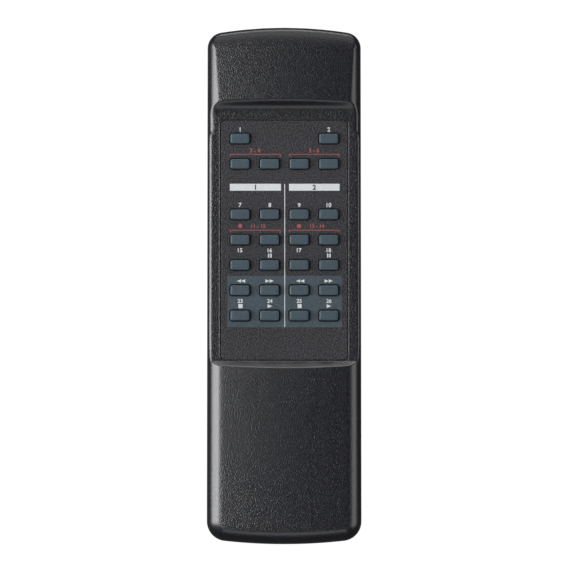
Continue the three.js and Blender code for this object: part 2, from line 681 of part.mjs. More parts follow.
function makeTopShell() {
  const bossFoot = SCREW_PAD_Z + SEAT_GAP;
  const roof = HEIGHT - WALL / 2;
  const bosses = [-1, 1].map((side) => post(side * SCREW_X, SCREW_Y, bossFoot, roof, BOSS_RADIUS, PIN_SIDES));
  const hollow = upperBlock(0).subtract(upperBlock(WALL));
  const pocket = prism(
    roundRectangle(
      PLATE_WIDTH + 2 * PLATE_GROOVE,
      PLATE_LENGTH + 2 * PLATE_GROOVE,
      PLATE_CORNER + PLATE_GROOVE,
      CORNER_STEPS,
    ).map(([x, y]) => [x, y + PLATE_MIDDLE_Y]),
    POCKET_Z,
    HEIGHT + CUT_OVERRUN,
  );
  const keyHoles = keys.map((key) =>
    slab(
      key.x,
      key.y,
      KEY_WIDTH + 4 * KEY_GAP,
      KEY_LENGTH + 4 * KEY_GAP,
      PANEL_Z - PANEL_WALL - CUT_OVERRUN,
      PANEL_Z + CUT_OVERRUN,
    ),
  );
  const rebate = outlineBand(
    WALL - LIP_THICKNESS - SEAT_GAP,
    WALL + CUT_OVERRUN,
    UPPER_RIM_Z - CUT_OVERRUN,
    PARTING_Z + LIP_HEIGHT + SEAT_GAP,
  );
  const pilots = [-1, 1].map((side) =>
    post(
      side * SCREW_X,
      SCREW_Y,
      bossFoot - CUT_OVERRUN,
      SCREW_TIP_Z + SEAT_GAP,
      SCREW_RADIUS + SCREW_GRIP,
      PIN_SIDES,
    ),
  );
  const trayRoom = trayBlock(SEAT_GAP, UPPER_RIM_Z - CUT_OVERRUN);
  return cutBy(hollow, [pocket, ...keyHoles, rebate, trayRoom, windowBlock(SEAT_GAP)])
    .add(joined(bosses))
    .subtract(joined(pilots));
}

// The door's outline from below, grown by a gap: visible plate, side tongues, inner nose and tail end.
function doorSpace(gap, foot) {
  const tail = -HALF_LENGTH - CUT_OVERRUN;
  const half = DOOR_WIDTH / 2 + gap;
  const tongueZ = DOOR_INNER_Z - DOOR_TONGUE_THICKNESS - gap;
  return joined([
    block([-half, tail, foot], [half, DOOR_HEAD_Y + gap, DOOR_INNER_Z + gap]),
    block([-half - DOOR_TONGUE, tail, tongueZ], [half + DOOR_TONGUE, DOOR_HEAD_Y + gap, DOOR_INNER_Z + gap]),
    block(
      [-half, DOOR_HEAD_Y - gap, tongueZ],
      [half, DOOR_HEAD_Y + DOOR_NOSE_LENGTH + gap, DOOR_INNER_Z + gap],
    ),
    block([-half, tail, foot], [half, -HALF_LENGTH + DOOR_TAIL_WALL + gap, DOOR_TAIL_HEIGHT + gap]),
  ]);
}

function makeBottomShell() {
  const hollow = lowerBlock(0).subtract(lowerBlock(WALL));
  const lip = outlineBand(WALL - LIP_THICKNESS, WALL, PARTING_Z - WALL, PARTING_Z + LIP_HEIGHT);
  const tray = trayBlock(0, WALL / 2);
  const seatHalf = DOOR_WIDTH / 2 + DOOR_TONGUE + WALL;
  const seatPlate = block(
    [-seatHalf, -HALF_LENGTH + WALL, WALL / 2],
    [seatHalf, DOOR_HEAD_Y + DOOR_NOSE_LENGTH + WALL, TRAY_FLOOR_Z],
  );
  const bay = block(
    [-TRAY_HALF_WIDTH, TRAY_TAIL_Y, -CUT_OVERRUN],
    [TRAY_HALF_WIDTH, TRAY_END_Y, TRAY_ROOF_Z],
  );
  const tabHalf = CONTACT_TAB_WIDTH / 2 + SEAT_GAP;
  const tabSlots = [-1, 1].map((side) =>
    block(
      [side * CELL_X - tabHalf, TRAY_END_Y - CONTACT_THICKNESS - 2 * SEAT_GAP, Math.min(TAB_Z, TRAY_ROOF_Z) - SEAT_GAP],
      [side * CELL_X + tabHalf, TRAY_END_Y + TRAY_WALL + CUT_OVERRUN, TAB_Z + CONTACT_THICKNESS + SEAT_GAP],
    ),
  );
  const posts = postPlaces.flatMap(([x, y]) => [
    post(x, y, WALL / 2 + noseRise(y), BOARD_BOTTOM_Z - SEAT_GAP, POST_RADIUS, PIN_SIDES),
    post(x, y, WALL, BOARD_BOTTOM_Z + POST_PIN_HEIGHT, POST_PIN_RADIUS, PIN_SIDES),
  ]);
  const pads = [-1, 1].map((side) =>
    post(side * SCREW_X, SCREW_Y, WALL, SCREW_PAD_Z, SCREW_HEAD_RADIUS + SCREW_PAD_WALL, PIN_SIDES),
  );
  const screwHoles = [-1, 1].flatMap((side) => [
    post(
      side * SCREW_X,
      SCREW_Y,
      -CUT_OVERRUN,
      SCREW_PAD_Z + CUT_OVERRUN,
      SCREW_RADIUS + SCREW_HOLE_GAP,
      PIN_SIDES,
    ),
    post(side * SCREW_X, SCREW_Y, -CUT_OVERRUN, SCREW_SEAT_Z, SCREW_HEAD_RADIUS + SCREW_HOLE_GAP, PIN_SIDES),
  ]);
  const inside = joined([hollow, lip, tray, ...pads, seatPlate.intersect(lowerBlock(0))]);
  return cutBy(inside, [bay, ...tabSlots, ...screwHoles, doorSpace(DOOR_GAP, -CUT_OVERRUN)])
    .add(joined(posts))
    .subtract(windowBlock(SEAT_GAP));
}

function makeDoor() {
  const skin = lowerBlock(0).intersect(doorSpace(0, DOOR_FACE_Z));
  const inner = block(
    [-DOOR_WIDTH, -HALF_LENGTH + DOOR_TAIL_WALL, DOOR_INNER_Z],
    [DOOR_WIDTH, DOOR_HEAD_Y, HEIGHT],
  );
  const ribs = Array.from({ length: DOOR_RIB_COUNT }, (_, index) =>
    slab(
      0,
      DOOR_HEAD_Y - DOOR_RIB_START - index * DOOR_RIB_PITCH,
      DOOR_RIB_LENGTH,
      DOOR_RIB_WIDTH,
      -CUT_OVERRUN,
      DOOR_FACE_Z + DOOR_RIB_DEPTH,
    ),
  );
  const arrowBaseY = DOOR_HEAD_Y - DOOR_RIB_START - DOOR_RIB_COUNT * DOOR_RIB_PITCH - DOOR_ARROW_GAP;
  const arrow = prism(
    [
      [-DOOR_ARROW_WIDTH / 2, arrowBaseY],
      [0, arrowBaseY - DOOR_ARROW_LENGTH],
      [DOOR_ARROW_WIDTH / 2, arrowBaseY],
    ],
    -CUT_OVERRUN,
    DOOR_FACE_Z + DOOR_RIB_DEPTH,
  );
  return cutBy(skin, [inner, ...ribs, arrow]);
}

function makePlate() {
  const outline = roundRectangle(PLATE_WIDTH, PLATE_LENGTH, PLATE_CORNER, CORNER_STEPS);
  const sheet = prism(
    outline.map(([x, y]) => [x, y + PLATE_MIDDLE_Y]),
    PANEL_Z - PLATE_THICKNESS,
    PANEL_Z,
  );
  const hole = roundRectangle(
    KEY_WIDTH + 2 * KEY_GAP,
    KEY_LENGTH + 2 * KEY_GAP,
    KEY_CORNER + KEY_GAP,
    KEY_CORNER_STEPS,
  );
  const holes = keys.map((key) =>
    prism(
      hole.map(([x, y]) => [x + key.x, y + key.y]),
      PANEL_Z - PLATE_THICKNESS - CUT_OVERRUN,
      PANEL_Z + CUT_OVERRUN,
    ),
  );
  return cutBy(sheet, holes);
}

// A key: plunger, flange that the case traps, and cap with a chamfered top edge.
function makeKey({ x, y }) {
  const ring = (grow, z) =>
    roundRectangle(KEY_WIDTH + 2 * grow, KEY_LENGTH + 2 * grow, KEY_CORNER, KEY_CORNER_STEPS).map(([px, py]) => [
      px + x,
      py + y,
      z,
    ]);
  return loft([
    ring(-KEY_PLUNGER_INSET, KEY_BOTTOM_Z),
    ring(-KEY_PLUNGER_INSET, KEY_FLANGE_Z),
    ring(KEY_FLANGE, KEY_FLANGE_Z),
    ring(KEY_FLANGE, KEY_FLANGE_TOP_Z),
    ring(0, KEY_FLANGE_TOP_Z),
    ring(-KEY_DRAFT, KEY_TOP_Z - KEY_EDGE),
    ring(-KEY_DRAFT - KEY_EDGE, KEY_TOP_Z),
  ]);
}

function makeSheet() {
  const width = BOARD_WIDTH - 2 * SHEET_SIDE_INSET;
  const front = KEY_FIRST_ROW_Y + KEY_LENGTH / 2 + SHEET_MARGIN;
  const tail = BOARD_TAIL_Y + SHEET_TAIL_INSET;
  const outline = roundRectangle(width, front - tail, SHEET_CORNER, KEY_CORNER_STEPS);
  const sheet = prism(
    outline.map(([x, y]) => [x, y + (front + tail) / 2]),
    SHEET_Z,
    SHEET_Z + SHEET_THICKNESS,
  );
  const wells = keys.map((key) =>
    slab(
      key.x,
      key.y,
      KEY_WIDTH - 2 * KEY_PLUNGER_INSET + 2 * KEY_GAP,
      KEY_LENGTH - 2 * KEY_PLUNGER_INSET + 2 * KEY_GAP,
      SHEET_Z - CUT_OVERRUN,
      SHEET_Z + SHEET_THICKNESS + CUT_OVERRUN,
    ),
  );
  const pinRooms = postPlaces.map(([x, y]) =>
    post(
      x,
      y,
      SHEET_Z - CUT_OVERRUN,
      SHEET_Z + SHEET_THICKNESS + CUT_OVERRUN,
      POST_PIN_RADIUS + PIN_GAP,
      PIN_SIDES,
    ),
  );
  return cutBy(sheet, [...wells, ...pinRooms]);
}

function makeBoard() {
  const board = slab(0, BOARD_MIDDLE_Y, BOARD_WIDTH, BOARD_LENGTH, BOARD_BOTTOM_Z, BOARD_TOP_Z);
  const holes = postPlaces.map(([x, y]) =>
    post(
      x,
      y,
      BOARD_BOTTOM_Z - CUT_OVERRUN,
      BOARD_TOP_Z + CUT_OVERRUN,
      POST_PIN_RADIUS + PIN_GAP,
      PIN_SIDES,
    ),
  );
  return cutBy(board, holes);
}

function makeWindow() {
  const depth = WINDOW_SEAT + WINDOW_FLANGE_THICKNESS;
  const outside = joined([lowerBlock(0), upperBlock(0), outlineBand(0, depth, PARTING_Z, UPPER_RIM_Z)]);
  const lens = outlineBand(0, depth, 0, HEIGHT).intersect(windowBlock(0)).intersect(outside);
  const half = WINDOW_WIDTH / 2 + WINDOW_FLANGE;
  const flange = outlineBand(WINDOW_SEAT, depth, 0, HEIGHT).intersect(
    block(
      [-half, HALF_LENGTH - FRONT_CORNER_RADIUS - depth, WINDOW_LOW_Z - WINDOW_FLANGE],
      [half, HALF_LENGTH, WINDOW_HIGH_Z + WINDOW_FLANGE],
    ),
  );
  return lens.add(flange);
}

function makeLed() {
  const dome = Array.from({ length: CORNER_STEPS + 1 }, (_, step) => {
    const angle = ((step / CORNER_STEPS) * Math.PI) / 2;
    return [LED_RADIUS * Math.cos(angle), LED_TIP_Y - LED_RADIUS + LED_RADIUS * Math.sin(angle)];
  });
  dome[dome.length - 1][0] = 0;
  const body = turnedAlongY(
    [
      [0, LED_BACK_Y],
      [LED_COLLAR_RADIUS, LED_BACK_Y],
      [LED_COLLAR_RADIUS, LED_BACK_Y + LED_COLLAR_LENGTH],
      [LED_RADIUS, LED_BACK_Y + LED_COLLAR_LENGTH],
      ...dome,
    ],
    PIN_SIDES,
  ).translate([0, 0, WINDOW_Z]);
  const leads = [-1, 1].map((side) =>
    block(
      [(side * LED_LEAD_PITCH - LED_LEAD) / 2, LED_BACK_Y - LED_LEAD_LENGTH, UNDER_BOARD_Z - LED_LEAD],
      [(side * LED_LEAD_PITCH + LED_LEAD) / 2, LED_BACK_Y + LED_LEAD, UNDER_BOARD_Z],
    ),
  );
  return joined([body, ...leads]);
}

// A cell with its button end towards +Y or -Y.
function makeCell(side, buttonSign) {
  const base = TRAY_MIDDLE_Y - buttonSign * (TRAY_LENGTH / 2 - CONTACT_THICKNESS - 2 * SEAT_GAP - SPRING_LENGTH - SEAT_GAP);
  const cell = turnedAlongY(
    [
      [0, 0],
      [CELL_RADIUS - CELL_EDGE, 0],
      [CELL_RADIUS, CELL_EDGE],
      [CELL_RADIUS, CELL_BODY_LENGTH - CELL_EDGE],
      [CELL_RADIUS - CELL_EDGE, CELL_BODY_LENGTH],
      [CELL_NUB_RADIUS, CELL_BODY_LENGTH],
      [CELL_NUB_RADIUS, CELL_LENGTH],
      [0, CELL_LENGTH],
    ],
    CELL_SIDES,
  );
  const turned = buttonSign > 0 ? cell : cell.rotate([0, 0, 180]);
  return turned.translate([side * CELL_X, base, CELL_Z]);
}

// A point on the middle of a conical spring's wire, at a share of its length from the wide end.
function springCentre(share) {
  const turn = share * SPRING_TURNS * 2 * Math.PI;
  const radius = THREE.MathUtils.lerp(SPRING_BASE_RADIUS, SPRING_TIP_RADIUS, share);
  const along = THREE.MathUtils.lerp(SPRING_WIRE / 2, SPRING_LENGTH - SPRING_WIRE / 2, share);
  return new THREE.Vector3(radius * Math.cos(turn), along, radius * Math.sin(turn));
}

// The least gap between one curl and the next, measured on the wire's middle points.
function springGap() {
  const steps = SPRING_TURNS * SPRING_STEPS;
  const points = Array.from({ length: steps + 1 }, (_, step) => springCentre(step / steps));
  const gaps = points.flatMap((from, index) =>
    points.slice(index + SPRING_STEPS / 2).map((to) => from.distanceTo(to) - SPRING_WIRE),
  );
  return Math.min(...gaps);
}

// A conical compression spring along Y, its wide end on the contact plate.
function makeSpring(side, buttonSign) {
  const steps = SPRING_TURNS * SPRING_STEPS;
  const wire = SPRING_WIRE / 2;
  const rings = Array.from({ length: steps + 1 }, (_, step) => {
    const share = step / steps;
    const turn = share * SPRING_TURNS * 2 * Math.PI;
    const outwards = new THREE.Vector3(Math.cos(turn), 0, Math.sin(turn));
    const along = new THREE.Vector3(0, 1, 0);
    return Array.from({ length: SPRING_SIDES }, (_, corner) => {
      const angle = (corner / SPRING_SIDES) * 2 * Math.PI;
      return springCentre(share)
        .addScaledVector(outwards, wire * Math.cos(angle))
        .addScaledVector(along, wire * Math.sin(angle))
        .toArray();
    });
  });
  const spring = loft(rings);
  const facing = buttonSign > 0 ? spring : spring.rotate([0, 0, 180]);
  const seat = TRAY_MIDDLE_Y - buttonSign * (TRAY_LENGTH / 2 - CONTACT_THICKNESS - 2 * SEAT_GAP);
  return facing.translate([side * CELL_X, seat, CELL_Z]);
}

// The two plates at the tray's board end, each with a tab that reaches over the board.
function makeBoardContact(side) {
  const y = TRAY_END_Y - SEAT_GAP;
  const x = side * CELL_X;
  return joined([
    block(
      [x - CONTACT_WIDTH / 2, y - CONTACT_THICKNESS, CELL_Z - CONTACT_HEIGHT / 2],
      [x + CONTACT_WIDTH / 2, y, CELL_Z + CONTACT_HEIGHT / 2],
    ),
    block(
      [x - CONTACT_TAB_WIDTH / 2, y - CONTACT_THICKNESS, CELL_Z],
      [x + CONTACT_TAB_WIDTH / 2, y, TAB_Z + CONTACT_THICKNESS],
    ),
    block(
      [x - CONTACT_TAB_WIDTH / 2, y - CONTACT_THICKNESS, TAB_Z],
      [x + CONTACT_TAB_WIDTH / 2, BOARD_TAIL_Y + CONTACT_TAB_REACH, TAB_Z + CONTACT_THICKNESS],
    ),
  ]);
}

// The plate that joins both cells at the tail.
function makeTailContact() {
  const y = TRAY_TAIL_Y + SEAT_GAP;
  return block(
    [-CELL_X - CONTACT_WIDTH / 2, y, CELL_Z - CONTACT_HEIGHT / 2],
    [CELL_X + CONTACT_WIDTH / 2, y + CONTACT_THICKNESS, CELL_Z + CONTACT_HEIGHT / 2],
  );
}

// A pan-head screw driven from below, with a cross recess.
function makeScrew(side) {
  const x = side * SCREW_X;
  const headTop = SCREW_SEAT_Z - SEAT_GAP;
  const shank = post(x, SCREW_Y, headTop, SCREW_TIP_Z, SCREW_RADIUS, PIN_SIDES);
  const head = post(x, SCREW_Y, headTop - SCREW_HEAD_HEIGHT, headTop, SCREW_HEAD_RADIUS, PIN_SIDES);
  const recess = (width, length) =>
    slab(
      x,
      SCREW_Y,
      width,
      length,
      headTop - SCREW_HEAD_HEIGHT - CUT_OVERRUN,
      headTop - SCREW_HEAD_HEIGHT + SCREW_CROSS_DEPTH,
    );
  return cutBy(shank.add(head), [recess(SCREW_CROSS, SCREW_CROSS_WIDTH), recess(SCREW_CROSS_WIDTH, SCREW_CROSS)]);
}

function makeChip() {
  const top = UNDER_BOARD_Z - CHIP_LEAD_THICKNESS;
  const body = slab(0, CHIP_Y, CHIP_WIDTH, CHIP_LENGTH, top - CHIP_HEIGHT, top);
  const leads = Array.from({ length: CHIP_LEAD_COUNT }, (_, index) => {
    const y = CHIP_Y + (index - (CHIP_LEAD_COUNT - 1) / 2) * CHIP_LEAD_PITCH;
    const width = CHIP_WIDTH + 2 * CHIP_LEAD_REACH;
    return slab(0, y, width, CHIP_LEAD_WIDTH, top - CHIP_LEAD_THICKNESS, UNDER_BOARD_Z);
  });
  return joined([body, ...leads]);
}

// Legs that rise from a part's body to just under the board.
function legs(x, y, count, bodyTop) {
  return Array.from({ length: count }, (_, index) =>
    slab(x + (index - (count - 1) / 2) * LEG_PITCH, y, LEG, LEG, bodyTop - LEG, UNDER_BOARD_Z),
  );
}

function makeResonator() {
  const top = UNDER_BOARD_Z - LEG_LENGTH;
  const outline = roundRectangle(RESONATOR_WIDTH, RESONATOR_THICKNESS, RESONATOR_CORNER, KEY_CORNER_STEPS);
  const body = prism(
    outline.map(([x, y]) => [x, y + RESONATOR_Y]),
    top - RESONATOR_HEIGHT,
    top,
  );
  return joined([body, ...legs(0, RESONATOR_Y, 3, top)]);
}

// An electrolytic capacitor laid flat under the board.
function makeCapacitor() {
  const z = UNDER_BOARD_Z - CAPACITOR_RADIUS - SEAT_GAP;
  const groove = CAPACITOR_GROOVE_SHARES.map((share, index) => [
    CAPACITOR_RADIUS - (index === 1 ? CAPACITOR_GROOVE_DEPTH : 0),
    share * CAPACITOR_LENGTH,
  ]);
  const body = turnedAlongY(
    [
      [0, 0],
      [CAPACITOR_RADIUS, 0],
      ...groove,
      [CAPACITOR_RADIUS, CAPACITOR_LENGTH],
      [0, CAPACITOR_LENGTH],
    ],
    PIN_SIDES,
  ).translate([CAPACITOR_X, CAPACITOR_Y, z]);
  const leads = [-1, 1].map((side) =>
    block(
      [CAPACITOR_X + (side * LEG_PITCH - LEG) / 2, CAPACITOR_Y + CAPACITOR_LENGTH - LEG, z],
      [CAPACITOR_X + (side * LEG_PITCH + LEG) / 2, CAPACITOR_Y + CAPACITOR_LENGTH + LEG_LENGTH, UNDER_BOARD_Z],
    ),
  );
  return joined([body, ...leads]);
}

function makeTransistor() {
  const top = UNDER_BOARD_Z - LEG_LENGTH;
  const body = post(TRANSISTOR_X, TRANSISTOR_Y, top - TRANSISTOR_HEIGHT, top, TRANSISTOR_RADIUS, PIN_SIDES);
  const flat = block(
    [TRANSISTOR_X - TRANSISTOR_RADIUS, TRANSISTOR_Y + TRANSISTOR_FLAT, top - TRANSISTOR_HEIGHT - CUT_OVERRUN],
    [TRANSISTOR_X + TRANSISTOR_RADIUS, TRANSISTOR_Y + TRANSISTOR_RADIUS + CUT_OVERRUN, top + CUT_OVERRUN],
  );
  return joined([body.subtract(flat), ...legs(TRANSISTOR_X, TRANSISTOR_Y, 3, top)]);
}

function makeResistor(index) {
  const y = RESISTOR_Y - index * RESISTOR_PITCH;
  const z = UNDER_BOARD_Z - RESISTOR_RADIUS - SEAT_GAP;
  const waist = RESISTOR_WAIST_SHARES.map((share, index) => [
    RESISTOR_RADIUS - (index === 1 || index === 2 ? RESISTOR_WAIST : 0),
    share * RESISTOR_LENGTH,
  ]);
  const profile = [[0, 0], [RESISTOR_RADIUS, 0], ...waist, [RESISTOR_RADIUS, RESISTOR_LENGTH], [0, RESISTOR_LENGTH]];
  const body = turnedAlongY(profile, PIN_SIDES)
    .rotate([0, 0, -90])
    .translate([RESISTOR_X - RESISTOR_LENGTH / 2, y, z]);
  const wires = [-1, 1].map((side) => {
    const x = RESISTOR_X + (side * (RESISTOR_LENGTH + LEG)) / 2;
    return block([x - LEG, y - LEG / 2, z - LEG / 2], [x + LEG, y + LEG / 2, UNDER_BOARD_Z]);
  });
  return joined([body, ...wires]);
}

// Finishes
const finish = (color, roughness, metalness = 0) => new THREE.MeshStandardMaterial({ color, roughness, metalness });
const FINISHES = {
  case: finish("#33353b", 0.55),
  plate: finish("#3c3c40", 0.6),
  key: finish("#4e5d68", 0.5),
  rubber: finish("#3a3f44", 0.8),
  board: finish("#8a6a3a", 0.6),
  window: finish("#1a0e12", 0.1),
  led: finish("#2b2440", 0.15),
  cell: finish("#5a6a72", 0.4),
  metal: finish("#c9ccd0", 0.3, 1),
  steel: finish("#8d9094", 0.35, 1),
  chip: finish("#1b1b1d", 0.5),
  ceramic: finish("#c77a2b", 0.5),
  sleeve: finish("#20262e", 0.4),
  lacquer: finish("#c9b48a", 0.5),
};

const remote = new THREE.Group();

function place(name, material, made) {
  const mesh = new THREE.Mesh(geometryOf(made), FINISHES[material]);
  mesh.name = name;
  remote.add(mesh);
}

place("top_shell", "case", makeTopShell());
place("bottom_shell", "case", makeBottomShell());
place("battery_door", "case", makeDoor());
place("face_plate", "plate", makePlate());
place("keypad_sheet", "rubber", makeSheet());
keys.forEach((key) => place(`key_${key.name}`, "key", makeKey(key)));
place("circuit_board", "board", makeBoard());
place("ir_window", "window", makeWindow());
place("ir_led", "led", makeLed());
place("cell_left", "cell", makeCell(-1, 1));
place("cell_right", "cell", makeCell(1, -1));
place("spring_tail", "metal", makeSpring(-1, 1));
place("spring_head", "metal", makeSpring(1, -1));
place("contact_positive", "metal", makeBoardContact(-1));
place("contact_negative", "metal", makeBoardContact(1));
place("contact_bridge", "metal", makeTailContact());
place("case_screw_left", "steel", makeScrew(-1));
place("case_screw_right", "steel", makeScrew(1));
place("remote_chip", "chip", makeChip());
place("resonator", "ceramic", makeResonator());
place("capacitor", "sleeve", makeCapacitor());
place("transistor", "chip", makeTransistor());
place("resistor_1", "lacquer", makeResistor(0));
place("resistor_2", "lacquer", makeResistor(1));

console.log(`least gap between spring curls: ${springGap().toFixed(2)} mm`);

export default remote;
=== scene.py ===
"""Looks of a handheld infrared remote control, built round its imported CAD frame.

The frame is in metres: +X right, +Y towards the infrared window, +Z up through the keys. Shapes are
worked out in millimetres on numpy grids, and turned into metres when they become a mesh.
"""

import math

import bmesh
import bpy
import numpy as np
from mathutils import Matrix, Vector


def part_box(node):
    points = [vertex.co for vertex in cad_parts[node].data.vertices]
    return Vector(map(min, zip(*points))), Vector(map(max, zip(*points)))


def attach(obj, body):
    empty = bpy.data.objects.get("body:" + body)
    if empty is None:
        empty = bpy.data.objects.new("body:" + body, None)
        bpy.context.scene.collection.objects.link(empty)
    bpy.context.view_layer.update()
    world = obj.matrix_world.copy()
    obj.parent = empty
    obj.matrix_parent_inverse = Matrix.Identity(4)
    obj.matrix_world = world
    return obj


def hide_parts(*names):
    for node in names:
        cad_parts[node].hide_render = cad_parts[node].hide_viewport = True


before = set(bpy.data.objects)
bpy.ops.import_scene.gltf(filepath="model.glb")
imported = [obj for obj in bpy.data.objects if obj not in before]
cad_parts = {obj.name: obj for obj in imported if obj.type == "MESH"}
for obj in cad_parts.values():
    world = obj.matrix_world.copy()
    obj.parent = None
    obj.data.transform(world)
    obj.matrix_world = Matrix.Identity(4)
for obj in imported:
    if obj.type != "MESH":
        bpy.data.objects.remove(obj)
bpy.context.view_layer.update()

MM = 0.001

# Sizes in millimetres, those of the CAD source but for small changes that follow the photograph
LENGTH, WIDTH, HEIGHT, WALL = 167.5, 50.2, 20.0, 2.0
HALF_W, HALF_L = WIDTH / 2, LENGTH / 2
PARTING_Z, RIM_Z = 8.5, 8.8
FRONT_ARC, FRONT_CORNER = 137.0, 5.2
TAIL_ARC, TAIL_CORNER = 177.0, 6.4
HEAD_NARROWING = 0.27
UPPER_DRAFT, LOWER_DRAFT = 0.3, 0.3
SIDE_Y0, SIDE_Y1 = -75.8, 76.6  # straight part of the sides, between the corners' circles
# Each step of the rims' round edges: its inset, and its distance from the parting
UPPER_RIM = [(0.18, 0.0), (0.05, 0.05), (0.02, 0.2)]
LOWER_RIM = [(0.18, 0.0), (0.05, 0.05), (0.01, 0.2)]
SHOULDER_W, SHOULDER_H, SHOULDER_CREST = 5.95, 3.75, 0.19
TAIL_EDGE_W, TAIL_EDGE_H = 6.0, 5.0
FRONT_EDGE, INNER_EDGE = 1.35, 0.3
CROWN, RAMP, RAMP_START = 270.0, 750.0, 45.0
BROW_LENGTH, BROW_DROP = 6.0, 1.6
PANEL_DEPTH, PANEL_WALL, PANEL_EDGE = 2.5, 2.4, 1.35
HOOD_FOOT, HOOD_FILLET, HOOD_SLOPE, HOOD_FOOT_CORNER = 55.8, 4.6, math.radians(47), 5.5
GRIP_FOOT, GRIP_FILLET, GRIP_SLOPE = -24.0, 0.8, math.radians(49)
CREASE_ROUND, HOOD_CREST_ROUND, GRIP_CREST_ROUND = 0.2, 1.1, 0.24
PANEL_LIFT, PANEL_LIFT_RUN = 1.5, 3.0
BOTTOM_EDGE, NOSE_RISE, NOSE_LENGTH = 3.5, 2.5, 34.0
LIP, LIP_HEIGHT, GAP = 0.8, 1.4, 0.3
PANEL_Z = HEIGHT - PANEL_DEPTH
PLATE_W, PLATE_Y0, PLATE_Y1, PLATE_CORNER, PLATE_T = 40.9, -23.9, 53.5, 1.6, 0.5
PLATE_Y, PLATE_L = (PLATE_Y0 + PLATE_Y1) / 2, PLATE_Y1 - PLATE_Y0
POCKET_GAP, POCKET_DEPTH = 0.31, 0.1
BEAD_OUT, BEAD_W, BEAD_H, BEAD_FOOT = 0.5, 0.34, 0.06, 0.4
KEY_W, KEY_L, KEY_CORNER, KEY_GAP, KEY_ROOM = 6.2, 3.3, 0.6, 0.3, 0.6
KEY_TOP, KEY_BOTTOM, KEY_INSET = 19.0, 13.0, 0.8
KEY_FLANGE, KEY_FLANGE_T, KEY_FLANGE_TOP = 0.8, 0.6, 14.8
WINDOW_W, WINDOW_H, WINDOW_Z, WINDOW_DEPTH = 22.0, 7.0, 9.6, 5.2

keys = sorted(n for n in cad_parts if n.startswith("key_"))


def centre_of(node):
    """Middle of a CAD node's box, in millimetres."""
    low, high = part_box(node)
    return (np.array(low) + np.array(high)) / 2 / MM


# Meshes


def piece(name, vertices, faces, material, angle=30.0, merge=1e-4):
    """A closed mesh at the origin from points in millimetres. Edges sharper than the angle stay so."""
    mesh = bpy.data.meshes.new(name)
    mesh.from_pydata(np.asarray(vertices, float) * MM, [], [tuple(f) for f in faces])
    made = bmesh.new()
    made.from_mesh(mesh)
    bmesh.ops.remove_doubles(made, verts=made.verts, dist=merge * MM)
    bmesh.ops.dissolve_degenerate(made, edges=made.edges, dist=merge * MM)
    bmesh.ops.recalc_face_normals(made, faces=made.faces)
    made.to_mesh(mesh)
    made.free()
    obj = bpy.data.objects.new(name, mesh)
    bpy.context.scene.collection.objects.link(obj)
    if material is not None:
        mesh.materials.append(material)
    soften(obj, angle)
    return obj


def soften(obj, angle):
    """Smooth shading, with edges sharper than the angle kept sharp."""
    mesh = obj.data
    mesh.polygons.foreach_set("use_smooth", np.ones(len(mesh.polygons), bool))
    mesh.set_sharp_from_angle(angle=math.radians(angle))
    mesh.update()


def even_normals(obj):
    """Large flat faces keep their own direction where a round edge meets them."""
    change = obj.modifiers.new("even_normals", "WEIGHTED_NORMAL")
    change.keep_sharp = True


def grid_faces(rows, columns):
    """Quads of a grid whose rows run one after another, and whose columns close round."""
    r, c = np.meshgrid(np.arange(rows - 1), np.arange(columns), indexing="ij")
    n = (c + 1) % columns
    a = r * columns
    return np.stack([a + c, a + n, a + columns + n, a + columns + c], -1).reshape(-1, 4)


def swept(rings):
    """Points and faces of a tube through rings of equal counts, its two ends closed by flat caps."""
    rings = np.asarray(rings, float)
    rows, columns = rings.shape[:2]
    faces = [list(f) for f in grid_faces(rows, columns)]
    faces.append(list(range(columns))[::-1])
    faces.append([(rows - 1) * columns + c for c in range(columns)])
    return rings.reshape(-1, 3), faces


def turned(profile, sides, axis="z", centre=(0, 0, 0)):
    """A profile of (radius, height) pairs turned once about the y or z axis through the centre."""
    profile = np.asarray(profile, float)
    angle = np.arange(sides) / sides * 2 * math.pi
    r, h = profile[:, :1], np.repeat(profile[:, 1:], sides, 1)
    u, v = r * np.cos(angle), r * np.sin(angle)
    order = {"z": (u, v, h), "y": (v, h, u)}[axis]
    return swept(np.stack(order, -1) + np.asarray(centre, float))


def round_rectangle(width, length, radius, steps, centre=(0, 0)):
    """Points of a rectangle with round corners: each corner's circle, turned through a quarter."""
    angle = (np.arange(4)[:, None] + np.linspace(0, 1, steps + 1)) * math.pi / 2
    side = np.array([[1, 1], [-1, 1], [-1, -1], [1, -1]], float)
    middle = side * [width / 2 - radius, length / 2 - radius]
    points = middle[:, None] + radius * np.stack([np.cos(angle), np.sin(angle)], -1)
    return points.reshape(-1, 2) + centre


def level(outline, z):
    """An outline's points at one height."""
    return np.c_[outline, np.full(len(outline), z)]


def prism(outline, z0, z1):
    """An outline raised straight up between two heights."""
    return swept([level(outline, z0), level(outline, z1)])


def box(low, high):
    """A box between two corners."""
    (x0, y0, z0), (x1, y1, z1) = low, high
    return prism(np.array([[x0, y0], [x1, y0], [x1, y1], [x0, y1]], float), z0, z1)


def merged(*meshes):
    """Several (points, faces) pairs as one."""
    points, faces, start = [], [], 0
    for p, f in meshes:
        points.append(p)
        faces += [[start + int(i) for i in face] for face in f]
        start += len(p)
    return np.concatenate(points), faces


def combine_with(obj, operation, tools):
    """Joins, cuts or trims a piece by other objects, which are then removed, and keeps the result."""
    for tool in tools:
        change = obj.modifiers.new("change", "BOOLEAN")
        change.operation, change.solver, change.object = operation, "EXACT", tool
    graph = bpy.context.evaluated_depsgraph_get()
    result = bpy.data.meshes.new_from_object(obj.evaluated_get(graph))
    obj.modifiers.clear()
    materials = list(obj.data.materials)
    obj.data = result
    result.materials.clear()
    for material in materials:
        result.materials.append(material)
    for tool in tools:
        bpy.data.objects.remove(tool)


